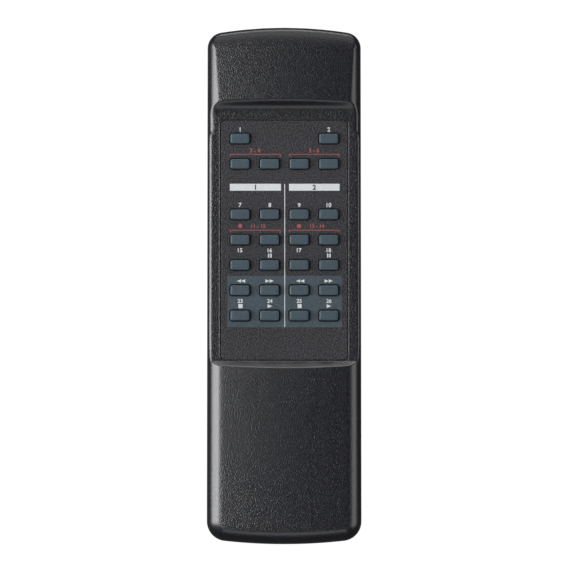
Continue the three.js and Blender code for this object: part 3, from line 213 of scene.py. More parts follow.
def combine(obj, operation, *shapes):
    """The same, by closed (points, faces) shapes."""
    combine_with(obj, operation, [piece("tool", *shape, None) for shape in shapes])


# Case surfaces


def end_form(sign, arc, corner):
    """One end of the outline: where the end arc meets the corner's circle."""
    corner_x = HALF_W - corner
    arc_y = HALF_L - arc
    reach = arc - corner
    corner_y = arc_y + math.sqrt(reach**2 - corner_x**2)
    meet = math.asin(corner_x / reach)
    return dict(sign=sign, arc=arc, corner=corner, cx=corner_x, ay=arc_y, cy=corner_y, meet=meet)


FRONT = end_form(1, FRONT_ARC, FRONT_CORNER)
TAIL = end_form(-1, TAIL_ARC, TAIL_CORNER)


def tapered(points):
    """The plan grows narrower in a straight line from the tail to the head."""
    share = (points[:, 1] + HALF_L) / LENGTH
    return np.c_[points[:, 0] * (1 - share * HEAD_NARROWING / HALF_W), points[:, 1]]


class Outline:
    """Places round the case's plan, anticlockwise from the right side. Each has its point at any inset,
    the point on the middle line that it faces, and how far it lies round the front and tail corners."""

    SPARE = 0.4  # least radius left at a corner that is inset
    CORNER_STEPS, END_STEPS = 14, 36

    def __init__(self, stations):
        stations = np.sort(np.asarray(stations, float))
        kinds = [("side", 1.0, y) for y in stations]
        kinds += self.end(FRONT, 1)
        kinds += [("side", -1.0, y) for y in stations[::-1]]
        kinds += self.end(TAIL, -1)
        self.kinds = kinds

    def end(self, form, turn):
        """Angles from the corner's start, over the end arc, to the other corner's start."""
        share = np.arange(self.CORNER_STEPS) / self.CORNER_STEPS
        corner = math.pi / 2 - share * (math.pi / 2 - form["meet"])
        middle = form["meet"] * (1 - 2 * np.arange(self.END_STEPS + 1) / self.END_STEPS)
        angles = np.r_[corner, middle, -corner[::-1]]
        shares = np.r_[share, np.ones(self.END_STEPS + 1), share[::-1]]
        return [(form, turn * a, s) for a, s in zip(angles, shares)]

    def at(self, insets):
        """Plan points at an inset from the outline, or at one inset for each place."""
        points = []
        each = np.broadcast_to(np.ravel(insets), len(self.kinds))
        for (kind, a, b), inset in zip(self.kinds, each):
            if kind == "side":
                points.append((a * (HALF_W - inset), b))
                continue
            s, c = math.sin(a), math.cos(a)
            if abs(a) > kind["meet"]:
                r = kind["corner"] - inset
                x = math.copysign(kind["cx"], a) + r * s
                points.append((x, kind["sign"] * (kind["cy"] + r * c)))
            else:
                r = kind["arc"] - inset
                points.append((r * s, kind["sign"] * (kind["ay"] + r * c)))
        return tapered(np.array(points))

    @property
    def spine(self):
        """The point on the middle line that each place faces."""
        ends = [b if kind == "side" else kind["sign"] * kind["cy"] for kind, _, b in self.kinds]
        return np.array([(0, y) for y in ends])

    def reach(self, inset, wanted):
        """How far each place can still be inset, so that no corner turns back on itself."""
        spare = inset + self.SPARE
        most = [wanted if kind == "side" else kind["corner"] - spare for kind, _, _ in self.kinds]
        return np.minimum(wanted, np.array(most))

    def share(self, form):
        """How far each place lies round one end: 0 at the side, 1 on the end arc."""
        return np.array([b if kind is form else 0.0 for kind, _, b in self.kinds])

    def flat(self, inset, z):
        """A level ring at one inset."""
        return level(self.at(inset), z)


def edge_drop(width, height, inset):
    """Drop of an edge rounded as a quarter ellipse, at a distance in from the wall."""
    past = np.clip(1 - inset / width, 0, None)
    return height * (1 - np.sqrt(np.clip(1 - past**2, 0, None)))


def wall_rise(past, fillet, slope):
    """Height gained past a sloping wall's foot: up the fillet's arc, then straight up the slope."""
    past = np.clip(past, 0, None)
    reach = fillet * math.sin(slope)
    arc = fillet - np.sqrt(np.clip(fillet**2 - np.minimum(past, reach) ** 2, 0, None))
    return arc + np.clip(past - reach, 0, None) * math.tan(slope)


def quarter_steps(count):
    """Shares of an edge's width, closest at its outer side: one less a cosine over a quarter turn."""
    return 1 - np.cos(np.linspace(0, math.pi / 2, count))


def past_foot(x, y, foot, half_width, corner):
    """Distance past a line across the case whose two ends turn back round a corner."""
    across = np.clip(np.abs(x) - (half_width - corner), 0, None)
    along = np.clip(y - (foot - corner), 0, None)
    return np.where(across > 0, np.hypot(across, along) - corner, y - foot)


def soft_min(a, b, radius):
    """The lower of two heights, with the crease between them rounded over about the radius."""
    radius = np.maximum(radius, 1e-6)
    share = np.clip(0.5 + 0.5 * (b - a) / radius, 0, 1)
    return b * (1 - share) + a * share - radius * share * (1 - share)


def upper_height(points, inset, front, tail, wall):
    """Height of the upper surface, the lowest of three. The top is a crown less a ramp towards the head
    and a brow at its rim. The shoulder is a quarter ellipse whose crest lies a little above the top, so
    that the two meet in a crease, and it stands higher beside the sunk panel, to leave the panel its own
    edge. The sunk panel has a round edge and rises by a wall at each end. Front and tail say how far a
    point lies round each end."""
    x, y = points[..., 0], points[..., 1]
    crown = HEIGHT - wall - x**2 / (2 * CROWN)
    ramp = np.clip(y - RAMP_START, 0, None) ** 2 / (2 * RAMP)
    front_inset = HALF_L - wall - y - x**2 / (2 * FRONT_ARC)
    top = crown - ramp - BROW_DROP * np.clip(1 - front_inset / BROW_LENGTH, 0, None) ** 2
    inwards = lambda size: np.maximum(size - wall, INNER_EDGE)
    blend = lambda side, end: (side + (end - side) * tail) * (1 - front) + FRONT_EDGE * front
    width, height = inwards(blend(SHOULDER_W, TAIL_EDGE_W)), inwards(blend(SHOULDER_H, TAIL_EDGE_H))
    shoulder = (crown + SHOULDER_CREST) * (1 - front) + top * front - edge_drop(width, height, inset)
    beside = np.minimum(HOOD_FOOT - HOOD_FOOT_CORNER - y, y - GRIP_FOOT)
    within = np.clip(beside / PANEL_LIFT_RUN, 0, 1)
    shoulder = shoulder + PANEL_LIFT * within**2 * (3 - 2 * within)
    hood = soft_min(top, shoulder, 0 if wall else CREASE_ROUND * (1 - front))
    panel = PANEL_Z - (PANEL_WALL if wall else 0)
    panel = panel - edge_drop(inwards(PANEL_EDGE), inwards(PANEL_EDGE), inset)
    half_width = HALF_W - UPPER_DRAFT - wall
    head = past_foot(x, y, HOOD_FOOT + wall, half_width, HOOD_FOOT_CORNER)
    panel = panel + wall_rise(head, HOOD_FILLET, HOOD_SLOPE)
    panel = panel + wall_rise(GRIP_FOOT - wall - y, GRIP_FILLET, GRIP_SLOPE)
    crest = 0 if wall else np.where(y > 0, HOOD_CREST_ROUND, GRIP_CREST_ROUND)
    return soft_min(hood, panel, crest)


def upper_stations():
    """Places along the sides, close together at the walls of the grip and the hood."""
    spans = [
        (SIDE_Y0, GRIP_FOOT - 3.4, 24),
        (GRIP_FOOT - 3.2, GRIP_FOOT + 0.3, 36),
        (GRIP_FOOT + 1, HOOD_FOOT - 9, 20),
        (HOOD_FOOT - 8, HOOD_FOOT + 5.4, 68),
        (HOOD_FOOT + 6, SIDE_Y1, 16),
    ]
    return np.concatenate([np.linspace(start, end, count) for start, end, count in spans])


def upper_half():
    """The upper half's closed skin: rings from the middle of the cavity's roof down the inner wall,
    round the rim and its rebate, up the outside and in to the middle line."""
    places = Outline(upper_stations())
    front, tail, spine = places.share(FRONT), places.share(TAIL), places.spine

    def height_ring(part, wall, share=0.0):
        """A ring at a part of the edge's width, or a share of the way on to the middle line."""
        inset = part * places.reach(wall + UPPER_DRAFT, TAIL_EDGE_W - wall)
        plan = places.at(wall + UPPER_DRAFT + inset) * (1 - share) + spine * share
        return np.c_[plan, upper_height(plan, inset, front, tail, wall)]

    rebate_z, rebate_inset = PARTING_Z + LIP_HEIGHT + GAP, WALL - LIP - GAP
    rings = [height_ring(1, WALL, s) for s in (1, 0.5, 0)]
    rings += [height_ring(s, WALL) for s in quarter_steps(7)[-2::-1]]
    rings += [places.flat(WALL + 0.1, rebate_z), places.flat(rebate_inset, rebate_z)]
    rings += [places.flat(rebate_inset, RIM_Z)]
    rings += [places.flat(inset, RIM_Z + rise) for inset, rise in UPPER_RIM]
    rings += [height_ring(s, 0) for s in quarter_steps(27)]
    rings += [height_ring(1, 0, s) for s in np.linspace(0, 1, 13)[1:]]
    rings = np.array(rings)
    return rings.reshape(-1, 3), grid_faces(len(rings), len(front))


def nose_rise(y):
    """Rise of the back towards the head: a parabola over the nose's length."""
    past = np.clip(y - (HALF_L - NOSE_LENGTH), 0, None) / NOSE_LENGTH
    return NOSE_RISE * past**2


def lower_rings(places, wall, shares, arc_steps):
    """Rings of the lower half's outside or cavity, from its edge at the wall to the middle line."""
    radius = BOTTOM_EDGE - wall
    spine = places.spine

    def ring(inset, share=0.0):
        plan = places.at(wall + LOWER_DRAFT + inset) * (1 - share) + spine * share
        return np.c_[plan, wall + nose_rise(plan[:, 1]) + edge_drop(radius, radius, inset)]

    return [ring(radius * s) for s in quarter_steps(arc_steps)] + [ring(radius, s) for s in shares]


def lower_places():
    """Places of the lower half, closer together along the sides where the nose rises."""
    return Outline(np.r_[np.linspace(SIDE_Y0, 48, 14), np.linspace(50, SIDE_Y1, 18)])


def lower_outside(places):
    """Rings of the lower half's outside, from the parting down and in to the middle line."""
    return lower_rings(places, 0, np.linspace(0, 1, 5)[1:], 16)


def lower_half():
    """The lower half's closed skin: cavity floor, inner wall, lip, rim, and the outside to the back."""
    places = lower_places()
    inner = lower_rings(places, WALL, (0.5, 1), 8)[::-1]
    lip_z = PARTING_Z + LIP_HEIGHT
    steps = (WALL, lip_z), (WALL - LIP, lip_z), (WALL - LIP, PARTING_Z)
    lip = [places.flat(inset, z) for inset, z in steps]
    rim = [places.flat(inset, PARTING_Z - drop) for inset, drop in LOWER_RIM]
    rings = np.array(inner + lip + rim + lower_outside(places))
    return rings.reshape(-1, 3), grid_faces(len(rings), len(places.kinds))


def lower_block():
    """The lower half's outside as a solid, closed by a level top at the parting."""
    places = lower_places()
    top = [places.flat(0, PARTING_Z), level(places.spine, PARTING_Z)]
    rings = np.array(lower_outside(places)[::-1] + top)
    return rings.reshape(-1, 3), grid_faces(len(rings), len(places.kinds))


# Materials


def material(name, build):
    """A node material: build(nodes, links, shader) sets it up round one Principled shader."""
    made = bpy.data.materials.new(name)
    made.use_nodes = True
    nodes, links = made.node_tree.nodes, made.node_tree.links
    nodes.clear()
    out = nodes.new("ShaderNodeOutputMaterial")
    shader = nodes.new("ShaderNodeBsdfPrincipled")
    links.new(shader.outputs["BSDF"], out.inputs["Surface"])
    build(nodes, links, shader)
    return made


def noise(nodes, links, scale, detail=2.0, roughness=0.5):
    """A noise pattern on object coordinates. Its scale is features per metre."""
    coordinates = nodes.new("ShaderNodeTexCoord")
    texture = nodes.new("ShaderNodeTexNoise")
    texture.inputs["Scale"].default_value = scale
    texture.inputs["Detail"].default_value = detail
    texture.inputs["Roughness"].default_value = roughness
    links.new(coordinates.outputs["Object"], texture.inputs["Vector"])
    return texture.outputs["Fac"]


def ramp(nodes, links, source, stops):
    """A colour ramp from (position, linear rgb) stops."""
    node = nodes.new("ShaderNodeValToRGB")
    elements = node.color_ramp.elements
    while len(elements) < len(stops):
        elements.new(0.5)
    for element, (position, rgb) in zip(elements, stops):
        element.position = position
        element.color = (*rgb, 1)
    links.new(source, node.inputs["Fac"])
    return node.outputs["Color"]


def spread(nodes, links, source, low, high, at=(0.3, 0.7)):
    """A value that runs from low to high as the source runs between two marks."""
    node = nodes.new("ShaderNodeMapRange")
    node.inputs["From Min"].default_value, node.inputs["From Max"].default_value = at
    node.inputs["To Min"].default_value, node.inputs["To Max"].default_value = low, high
    links.new(source, node.inputs["Value"])
    return node.outputs["Result"]


LEVEL = (0.93, 0.99)  # upward part of a surface's direction, where it is steep and where level


def bump(nodes, links, shader, source, height, steep=None):
    """Relief of a height in millimetres, which fades to a share on steep surfaces where one is given."""
    node = nodes.new("ShaderNodeBump")
    node.inputs["Distance"].default_value = height * MM
    if steep is not None:
        surface = nodes.new("ShaderNodeTexCoord")
        parts = nodes.new("ShaderNodeSeparateXYZ")
        links.new(surface.outputs["Normal"], parts.inputs[0])
        links.new(spread(nodes, links, parts.outputs[2], steep, 1.0, LEVEL), node.inputs["Strength"])
    links.new(source, node.inputs["Height"])
    links.new(node.outputs["Normal"], shader.inputs["Normal"])


PATCH = 40.0  # features per metre of the slow change in tone
SLOW_SHARE = 0.2  # its part in the tone, the rest being the fine grain's


def grained(
    name, dark, light, roughness, grain, height, detail=3.0, specular=0.5, steep=None, sheen=0.06
):
    """Moulded plastic or rubber: fine grain in colour, gloss and relief over a slow change in tone."""

    def build(nodes, links, shader):
        shader.inputs["Specular IOR Level"].default_value = specular
        fine = noise(nodes, links, grain, detail, 0.6)
        slow = noise(nodes, links, PATCH)
        tone = nodes.new("ShaderNodeMath")
        tone.operation = "MULTIPLY_ADD"
        links.new(fine, tone.inputs[0])
        tone.inputs[1].default_value = 1 - SLOW_SHARE
        scaled = nodes.new("ShaderNodeMath")
        scaled.operation = "MULTIPLY"
        scaled.inputs[1].default_value = SLOW_SHARE
        links.new(slow, scaled.inputs[0])
        links.new(scaled.outputs[0], tone.inputs[2])
        colour = ramp(nodes, links, tone.outputs[0], [(0.32, dark), (0.68, light)])
        links.new(colour, shader.inputs["Base Color"])
        gloss = spread(nodes, links, fine, roughness - sheen, roughness + sheen)
        links.new(gloss, shader.inputs["Roughness"])
        bump(nodes, links, shader, fine, height, steep)

    return material(name, build)


def plain_metal(name, rgb, roughness):
    """Bare metal with a fine mottle in colour, gloss and relief."""

    def build(nodes, links, shader):
        shader.inputs["Metallic"].default_value = 1.0
        fine = noise(nodes, links, 3000.0)
        darker = tuple(c * 0.85 for c in rgb)
        links.new(ramp(nodes, links, fine, [(0.3, darker), (0.7, rgb)]), shader.inputs["Base Color"])
        gloss = spread(nodes, links, fine, roughness - 0.05, roughness + 0.08)
        links.new(gloss, shader.inputs["Roughness"])
        bump(nodes, links, shader, fine, 0.004)

    return material(name, build)


# Name, darkest and lightest colour, roughness, grain in features per metre, and relief in millimetres
CASE = grained(
    "case_charcoal", (0.0013, 0.0018, 0.004), (0.0125, 0.013, 0.0182), 0.3, 3050, 0.106,
    detail=0.0, specular=0.78, steep=0.16, sheen=0.02,
)
PLATE = grained(
    "plate_dark_grey", (0.0, 0.0, 0.001), (0.0295, 0.029, 0.038), 0.5, 2000, 0.1,
    detail=0.0, specular=0.65,
)
KEYS = grained(
    "key_blue_grey", (0.034, 0.0575, 0.0755), (0.0435, 0.0715, 0.092), 0.45, 1500, 0.004,
    specular=0.65,
)
WHITE = grained("print_white", (0.53, 0.555, 0.575), (0.69, 0.72, 0.74), 0.6, 3000, 0.002)
RED = grained("print_red", (0.26, 0.065, 0.065), (0.35, 0.08, 0.08), 0.6, 3000, 0.002)
BLOCK = grained("print_blue_grey", (0.026, 0.044, 0.057), (0.06, 0.083, 0.104), 0.55, 1800, 0.004)
RUBBER = grained("sheet_rubber", (0.05, 0.055, 0.06), (0.07, 0.078, 0.085), 0.7, 1200, 0.006)
BOARD = grained("board_laminate", (0.24, 0.13, 0.05), (0.36, 0.21, 0.09), 0.5, 400, 0.004)
WINDOW = grained("window_dark_red", (0.004, 0.0015, 0.002), (0.007, 0.002, 0.003), 0.12, 300, 0.0005)
DIODE = grained("diode_resin", (0.04, 0.025, 0.07), (0.06, 0.035, 0.1), 0.15, 300, 0.001)
EPOXY = grained("chip_epoxy", (0.01, 0.01, 0.011), (0.018, 0.018, 0.019), 0.5, 2500, 0.006)
CERAMIC = grained("resonator_dip", (0.4, 0.13, 0.02), (0.55, 0.2, 0.03), 0.35, 700, 0.006)
SLEEVE = grained("capacitor_sleeve", (0.014, 0.02, 0.035), (0.022, 0.03, 0.05), 0.3, 900, 0.004)
LACQUER = grained("resistor_lacquer", (0.48, 0.36, 0.2), (0.6, 0.46, 0.26), 0.4, 900, 0.006)
NICKEL = plain_metal("contact_nickel", (0.75, 0.73, 0.69), 0.25)
STEEL = plain_metal("screw_zinc", (0.55, 0.55, 0.56), 0.35)


def cell_finish(nodes, links, shader):
    """A printed jacket with a pale band, and bare nickel at both ends, by two attributes of the mesh."""

    def blend(factor, a, b):
        node = nodes.new("ShaderNodeMix")
        node.data_type = "RGBA"
        links.new(factor, node.inputs["Factor"])
        links.new(a, node.inputs["A"])
        links.new(b, node.inputs["B"])
        return node.outputs["Result"]

    def attribute(name):
        node = nodes.new("ShaderNodeAttribute")
        node.attribute_name = name
        return node.outputs["Fac"]

    fine = noise(nodes, links, 900)
    dark = ramp(nodes, links, fine, [(0.3, (0.02, 0.03, 0.045)), (0.7, (0.03, 0.042, 0.06))])
    pale = ramp(nodes, links, fine, [(0.3, (0.3, 0.31, 0.32)), (0.7, (0.38, 0.39, 0.4))])
    bare = ramp(nodes, links, fine, [(0.3, (0.6, 0.59, 0.56)), (0.7, (0.72, 0.7, 0.67))])
    metal = attribute("bare")
    links.new(blend(metal, blend(attribute("band"), dark, pale), bare), shader.inputs["Base Color"])
    links.new(metal, shader.inputs["Metallic"])
    links.new(spread(nodes, links, fine, 0.22, 0.34), shader.inputs["Roughness"])
    bump(nodes, links, shader, fine, 0.003)


CELL = material("cell_jacket", cell_finish)

# Upper half


def plate_shape(grow):
    """The plate's outline, grown by a distance on every side."""
    size = PLATE_W + 2 * grow, PLATE_L + 2 * grow
    return round_rectangle(*size, PLATE_CORNER + grow, 10, (0, PLATE_Y))


def bead():
    """A fine raised bead round the plate: half an ellipse carried round its corners."""
    angle = np.linspace(0, math.pi, 9)
    section = [(math.cos(a) * BEAD_W / 2, PANEL_Z + math.sin(a) * BEAD_H) for a in angle]
    section += [(side * BEAD_W / 2, PANEL_Z - BEAD_FOOT) for side in (-1, 1)]
    rings = [level(plate_shape(BEAD_OUT + out), z) for out, z in section]
    rings = np.array(rings + rings[:1])
    return rings.reshape(-1, 3), grid_faces(len(rings), rings.shape[1])


def key_room(name):
    """A key's room in the panel, which the plate above it hides."""
    x, y, _ = centre_of(name)
    half_w, half_l = KEY_W / 2 + KEY_ROOM, KEY_L / 2 + KEY_ROOM
    return box((x - half_w, y - half_l, 12), (x + half_w, y + half_l, PANEL_Z + 1))


def window_opening():
    """The window's opening in the head end, as a cutter for both halves."""
    half_w, half_h = WINDOW_W / 2 + GAP, WINDOW_H / 2 + GAP
    low = (-half_w, HALF_L - WINDOW_DEPTH, WINDOW_Z - half_h)
    return box(low, (half_w, HALF_L + 2, WINDOW_Z + half_h))


top = piece("case_top", *upper_half(), CASE, 28)
pocket = prism(plate_shape(POCKET_GAP), PANEL_Z - PLATE_T - POCKET_DEPTH, HEIGHT + 2)
combine(top, "DIFFERENCE", pocket)
combine(top, "UNION", bead())
combine(top, "DIFFERENCE", merged(*[key_room(name) for name in keys]), window_opening())
soften(top, 28)
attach(top, "case")
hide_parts("top_shell")

# Lower half, which holds the battery tray, the screw pads and the board's posts

TRAY_X, TRAY_Y0, TRAY_Y1, TRAY_T, TRAY_ROOF = 11.05, -79.4, -27.6, 1.2, 13.3
DOOR_W, DOOR_Y, DOOR_FACE, DOOR_INNER, DOOR_GAP = 36.0, -26.2, 0.25, 2.0, 0.3
TONGUE, TONGUE_T, NOSE, DOOR_END_H, DOOR_END_T = 1.3, 0.9, 1.6, 4.7, 1.8
SCREW_PLACES = [(-15.4, -66.0), (15.4, -66.0)]
SCREW_SEAT, SCREW_PAD = 4.1, 5.3
SCREW_PAD_R, SCREW_HOLE_R, SCREW_HEAD_R = 3.5, 1.6, 2.6
FLOOR_X, FLOOR_Y, FLOOR_Z = 21.3, -80.6, 4.0
BOARD_LOW, POST_R, PIN_R, PIN_TOP = 10.6, 2.2, 1.0, 1.9
TAB_X, TAB_HALF, TAB_Z = 5.4, 1.8, 12.5
POSTS = [(side * 17.6, y) for side in (-1, 1) for y in (66.85, 31.26, -20.0)]
BELOW = -2.0  # a height under the back, where the cutters start
HAIR = 0.001  # keeps two cutters' faces out of one plane


def door_space(gap, foot):
    """The door's room: its visible plate, the tongues along its sides, the nose at its inner end and its
    tail end, all of them grown by a gap."""
    tail, half = -HALF_L - 2, DOOR_W / 2 + gap
    low, high = DOOR_INNER - TONGUE_T - gap, DOOR_INNER + gap
    return [
        box((-half, tail, foot), (half, DOOR_Y + gap, high)),
        box((-half - TONGUE, tail, low), (half + TONGUE, DOOR_Y + gap - HAIR, high)),
        box((-half + HAIR, DOOR_Y - gap, low), (half - HAIR, DOOR_Y + NOSE + gap, high)),
        box((-half, tail, foot), (half, -HALF_L + DOOR_END_T + gap, DOOR_END_H + gap)),
    ]


def posts(places, foot, top, radius):
    """Round posts, each turned with a small bevel at its top. The foot is one height, or each post's."""
    edge = 0.15
    shapes = []
    for (x, y), z in zip(places, np.broadcast_to(foot, len(places))):
        profile = [(radius, z), (radius, top - edge), (radius - edge, top)]
        shapes.append(turned(profile, 32, "z", (x, y, 0)))
    return merged(*shapes)


def screw_holes(radius, top, sides):
    """A round hole at each screw, from under the back up to a height."""
    hole = [(radius, BELOW), (radius, top)]
    return merged(*[turned(hole, sides, "z", (x, y, 0)) for x, y in SCREW_PLACES])


def tab_slot(side):
    """A slot in the tray's inner wall for a contact's tab."""
    x0, x1 = side * TAB_X - TAB_HALF, side * TAB_X + TAB_HALF
    return box((x0, TRAY_Y1 - 1, TAB_Z - 0.3), (x1, TRAY_Y1 + 3, TAB_Z + 0.7))


bottom = piece("case_bottom", *lower_half(), CASE, 28)
tray_low = (-TRAY_X - TRAY_T, TRAY_Y0 - TRAY_T, 1)
tray_high = (TRAY_X + TRAY_T, TRAY_Y1 + TRAY_T, TRAY_ROOF + TRAY_T)
post_feet = [1.6 + float(nose_rise(y)) for _, y in POSTS]
combine(
    bottom,
    "UNION",
    box(tray_low, tray_high),
    box((-FLOOR_X, FLOOR_Y, 1), (FLOOR_X, DOOR_Y + NOSE + WALL, FLOOR_Z)),
    posts(SCREW_PLACES, 1.5, SCREW_PAD, SCREW_PAD_R),
    posts(POSTS, post_feet, BOARD_LOW - GAP, POST_R),
    posts(POSTS, 8, BOARD_LOW + PIN_TOP, PIN_R),
)
combine(
    bottom,
    "DIFFERENCE",
    box((-TRAY_X, TRAY_Y0, BELOW), (TRAY_X, TRAY_Y1, TRAY_ROOF)),
    merged(tab_slot(-1), tab_slot(1)),
    screw_holes(SCREW_HOLE_R, SCREW_PAD + 2, 32),
    screw_holes(SCREW_HEAD_R, SCREW_SEAT, 40),
    *door_space(DOOR_GAP, BELOW),
    window_opening(),
)
soften(bottom, 28)
even_normals(bottom)
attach(bottom, "case")
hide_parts("bottom_shell")

# Battery door: the lower half's own skin, trimmed to the door's outline and hollowed, with finger
# grooves and an arrow

RIB_X, RIB_HALF, RIB_DEPTH, RIB_PITCH, RIB_COUNT = 7.5, 0.4, 0.45, 1.7, 6
RIB_Y = DOOR_Y - 5.5
ARROW_HALF, ARROW_L = 3.5, 5.0
ARROW_Y = RIB_Y - RIB_PITCH * RIB_COUNT - 3


def rib(y):
    """A finger groove across the door: half an ellipse cut into the face."""
    angle = np.linspace(0, math.pi, 9)
    outline = np.c_[RIB_HALF * np.cos(angle), RIB_DEPTH * np.sin(angle)]
    outline = np.r_[outline, [[-RIB_HALF, BELOW], [RIB_HALF, BELOW]]]
    along, up = y + outline[:, 0], DOOR_FACE + outline[:, 1]
    return swept([np.c_[np.full(len(outline), x), along, up] for x in (-RIB_X, RIB_X)])


door = piece("sliding_door", *lower_block(), CASE, 28)
plate_room, *other_rooms = door_space(0, DOOR_FACE)
room = piece("room", *plate_room, None)
combine(room, "UNION", *other_rooms)
combine_with(door, "INTERSECT", [room])
pointer = [(-ARROW_HALF, ARROW_Y), (0, ARROW_Y - ARROW_L), (ARROW_HALF, ARROW_Y)]
combine(
    door,
    "DIFFERENCE",
    box((-40, -HALF_L + DOOR_END_T, DOOR_INNER), (40, DOOR_Y + 10, HEIGHT)),
    merged(*[rib(RIB_Y - RIB_PITCH * i) for i in range(RIB_COUNT)]),
    prism(np.array(pointer), BELOW, DOOR_FACE + RIB_DEPTH),
)
soften(door, 28)
even_normals(door)
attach(door, "door")
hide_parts("battery_door")

# Face plate, with a small bevel round its edge and round each key's hole

PLATE_TOP, PLATE_BEVEL = PANEL_Z, 0.12
PLATE_HOLE_GAP, PLATE_HOLE_BEVEL = KEY_GAP - 0.06, 0.08


def plate_solid():
    """The plate's outline raised to its top, with its upper edge cut back by a bevel at 45 degrees."""
    outline = plate_shape(0)
    middle = outline.mean(0)
    half = np.abs(outline - middle).max(0)
    inner = middle + (outline - middle) * (1 - PLATE_BEVEL / half)
    heights = PLATE_TOP - PLATE_T, PLATE_TOP - PLATE_BEVEL
    return swept([level(outline, z) for z in heights] + [level(inner, PLATE_TOP)])


def key_opening(name, grow, z0, z1, flare=0.0):
    """A key's hole as a cutter, which opens out by a flare over the last tenth of a millimetre."""
    x, y, _ = centre_of(name)

    def ring(extra, z):
        size = KEY_W + 2 * (grow + extra), KEY_L + 2 * (grow + extra)
        return level(round_rectangle(*size, KEY_CORNER + grow + extra, 5, (x, y)), z)

    if not flare:
        return swept([ring(0, z0), ring(0, z1)])
    return swept([ring(0, z0), ring(0, z1 - 0.1), ring(flare, z1), ring(flare + 0.3, z1 + 0.3)])


plate = piece("plate", *plate_solid(), PLATE, 30)
openings = [key_opening(n, PLATE_HOLE_GAP, PLATE_TOP - 2, PLATE_TOP, PLATE_HOLE_BEVEL) for n in keys]
combine(plate, "DIFFERENCE", merged(*openings))
soften(plate, 30)
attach(plate, "case")
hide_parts("face_plate")

# Keys

CAP_EDGE, CAP_DRAFT, CAP_RISE = 0.28, 0.1, 0.05
FLANGE_EDGE, CAP_FOOT = 0.04, 0.06


def key_cap(x, y):
    """A moulded key: round-cornered rings climb from the plunger past the flange and up the cap, whose
    top edge turns in along a quarter circle and ends in a face that rises a little to its middle."""

    def ring(grow, z, corner=KEY_CORNER):
        size = KEY_W + 2 * grow, KEY_L + 2 * grow
        return level(round_rectangle(*size, corner, 6, (x, y)), z)

    under, over = KEY_FLANGE_TOP - KEY_FLANGE_T, KEY_FLANGE_TOP
    foot = [ring(-KEY_INSET, KEY_BOTTOM), ring(-KEY_INSET, under)]
    foot += [ring(KEY_FLANGE - FLANGE_EDGE, under), ring(KEY_FLANGE, under + FLANGE_EDGE)]
    foot += [ring(KEY_FLANGE, over - FLANGE_EDGE), ring(KEY_FLANGE - FLANGE_EDGE, over)]
    foot += [ring(0.1, over), ring(CAP_FOOT, over + 0.1), ring(CAP_FOOT, PLATE_TOP)]
    top_z = KEY_TOP - CAP_RISE
    cap = []
    for a in np.linspace(0, math.pi / 2, 8):
        inset, drop = CAP_EDGE * (1 - math.cos(a)), CAP_EDGE * (1 - math.sin(a))
        cap.append(ring(-CAP_DRAFT - inset, top_z - drop, KEY_CORNER - 0.2 * a))
    inner = -CAP_DRAFT - CAP_EDGE
    dome = [ring(inner - step, top_z + rise, 0.25) for step, rise in ((0.3, 0.02), (0.65, 0.03))]
    return swept(foot + cap + dome)


for name in keys:
    x, y, _ = centre_of(name)
    cap = piece("cap_" + name[4:], *key_cap(x, y), KEYS, 40)
    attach(cap, name)
    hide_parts(name)

# Cells and their springs

CELL_RIM, CELL_R, CELL_ROUND = 4.56, 5.15, 0.4
CELL_JACKET, CELL_BAND = 43.3, 32.0

# Radius and distance from the flat end of the bare metal at each end
CELL_BASE = [(3.6, 0.2), (3.95, 0.2), (4.15, 0.0), (4.55, 0.0)]
CELL_CROWN = [(4.55, 43.3), (4.3, 43.25), (4.1, 43.05), (2.2, 43.05)]
CELL_CROWN += [(1.9, 43.3), (1.9, 44.2), (1.6, 44.5)]


def node_corners(node):
    """The low and high corners of a CAD node's box, in millimetres."""
    return [np.array(corner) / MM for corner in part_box(node)]


def cell(node, button):
    """A cell as a turned profile: a dished flat end, a jacket crimped over both edges, and a button end,
    which points to the head, or to the tail when its sign is -1."""
    low, high = node_corners(node)
    bend = [(math.sin(a), math.cos(a)) for a in np.linspace(0, math.pi / 2, 6)]
    side, tip = CELL_R - CELL_ROUND, CELL_JACKET - CELL_ROUND
    jacket = [(CELL_RIM, 0.0)]
    jacket += [(side + CELL_ROUND * u, CELL_ROUND - CELL_ROUND * v) for u, v in bend]
    jacket += [(CELL_R, CELL_BAND - 0.01), (CELL_R, CELL_BAND + 0.01)]
    jacket += [(side + CELL_ROUND * u, tip + CELL_ROUND * v) for u, v in bend[::-1]]
    jacket += [(CELL_RIM, CELL_JACKET)]
    profile = np.array(CELL_BASE + jacket + CELL_CROWN)
    profile[:, 1] *= button
    centre = (low + high) / 2
    centre[1] = low[1] if button > 0 else high[1]
    made = piece("skin_" + node, *turned(profile, 64, "y", centre), CELL, 35, 1e-6)
    place = np.empty(len(made.data.vertices) * 3)
    made.data.vertices.foreach_get("co", place)
    place = place.reshape(-1, 3) / MM - centre
    length, radius = np.abs(place[:, 1]), np.hypot(place[:, 0], place[:, 2])
    bare = (radius < CELL_RIM - 0.005) & ((length < 1) | (length > 42))
    for name, mask in (("bare", bare), ("band", length > CELL_BAND)):
        values = made.data.attributes.new(name, "FLOAT", "POINT").data
        values.foreach_set("value", mask.astype(float))
    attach(made, "case")
    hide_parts(node)


SPRING_TURNS, SPRING_STEPS, SPRING_WIRE, SPRING_L = 4, 160, 0.25, 5.0
SPRING_R0, SPRING_R1, SPRING_X, SPRING_Z = 3.3, 1.9, 5.4, 7.65


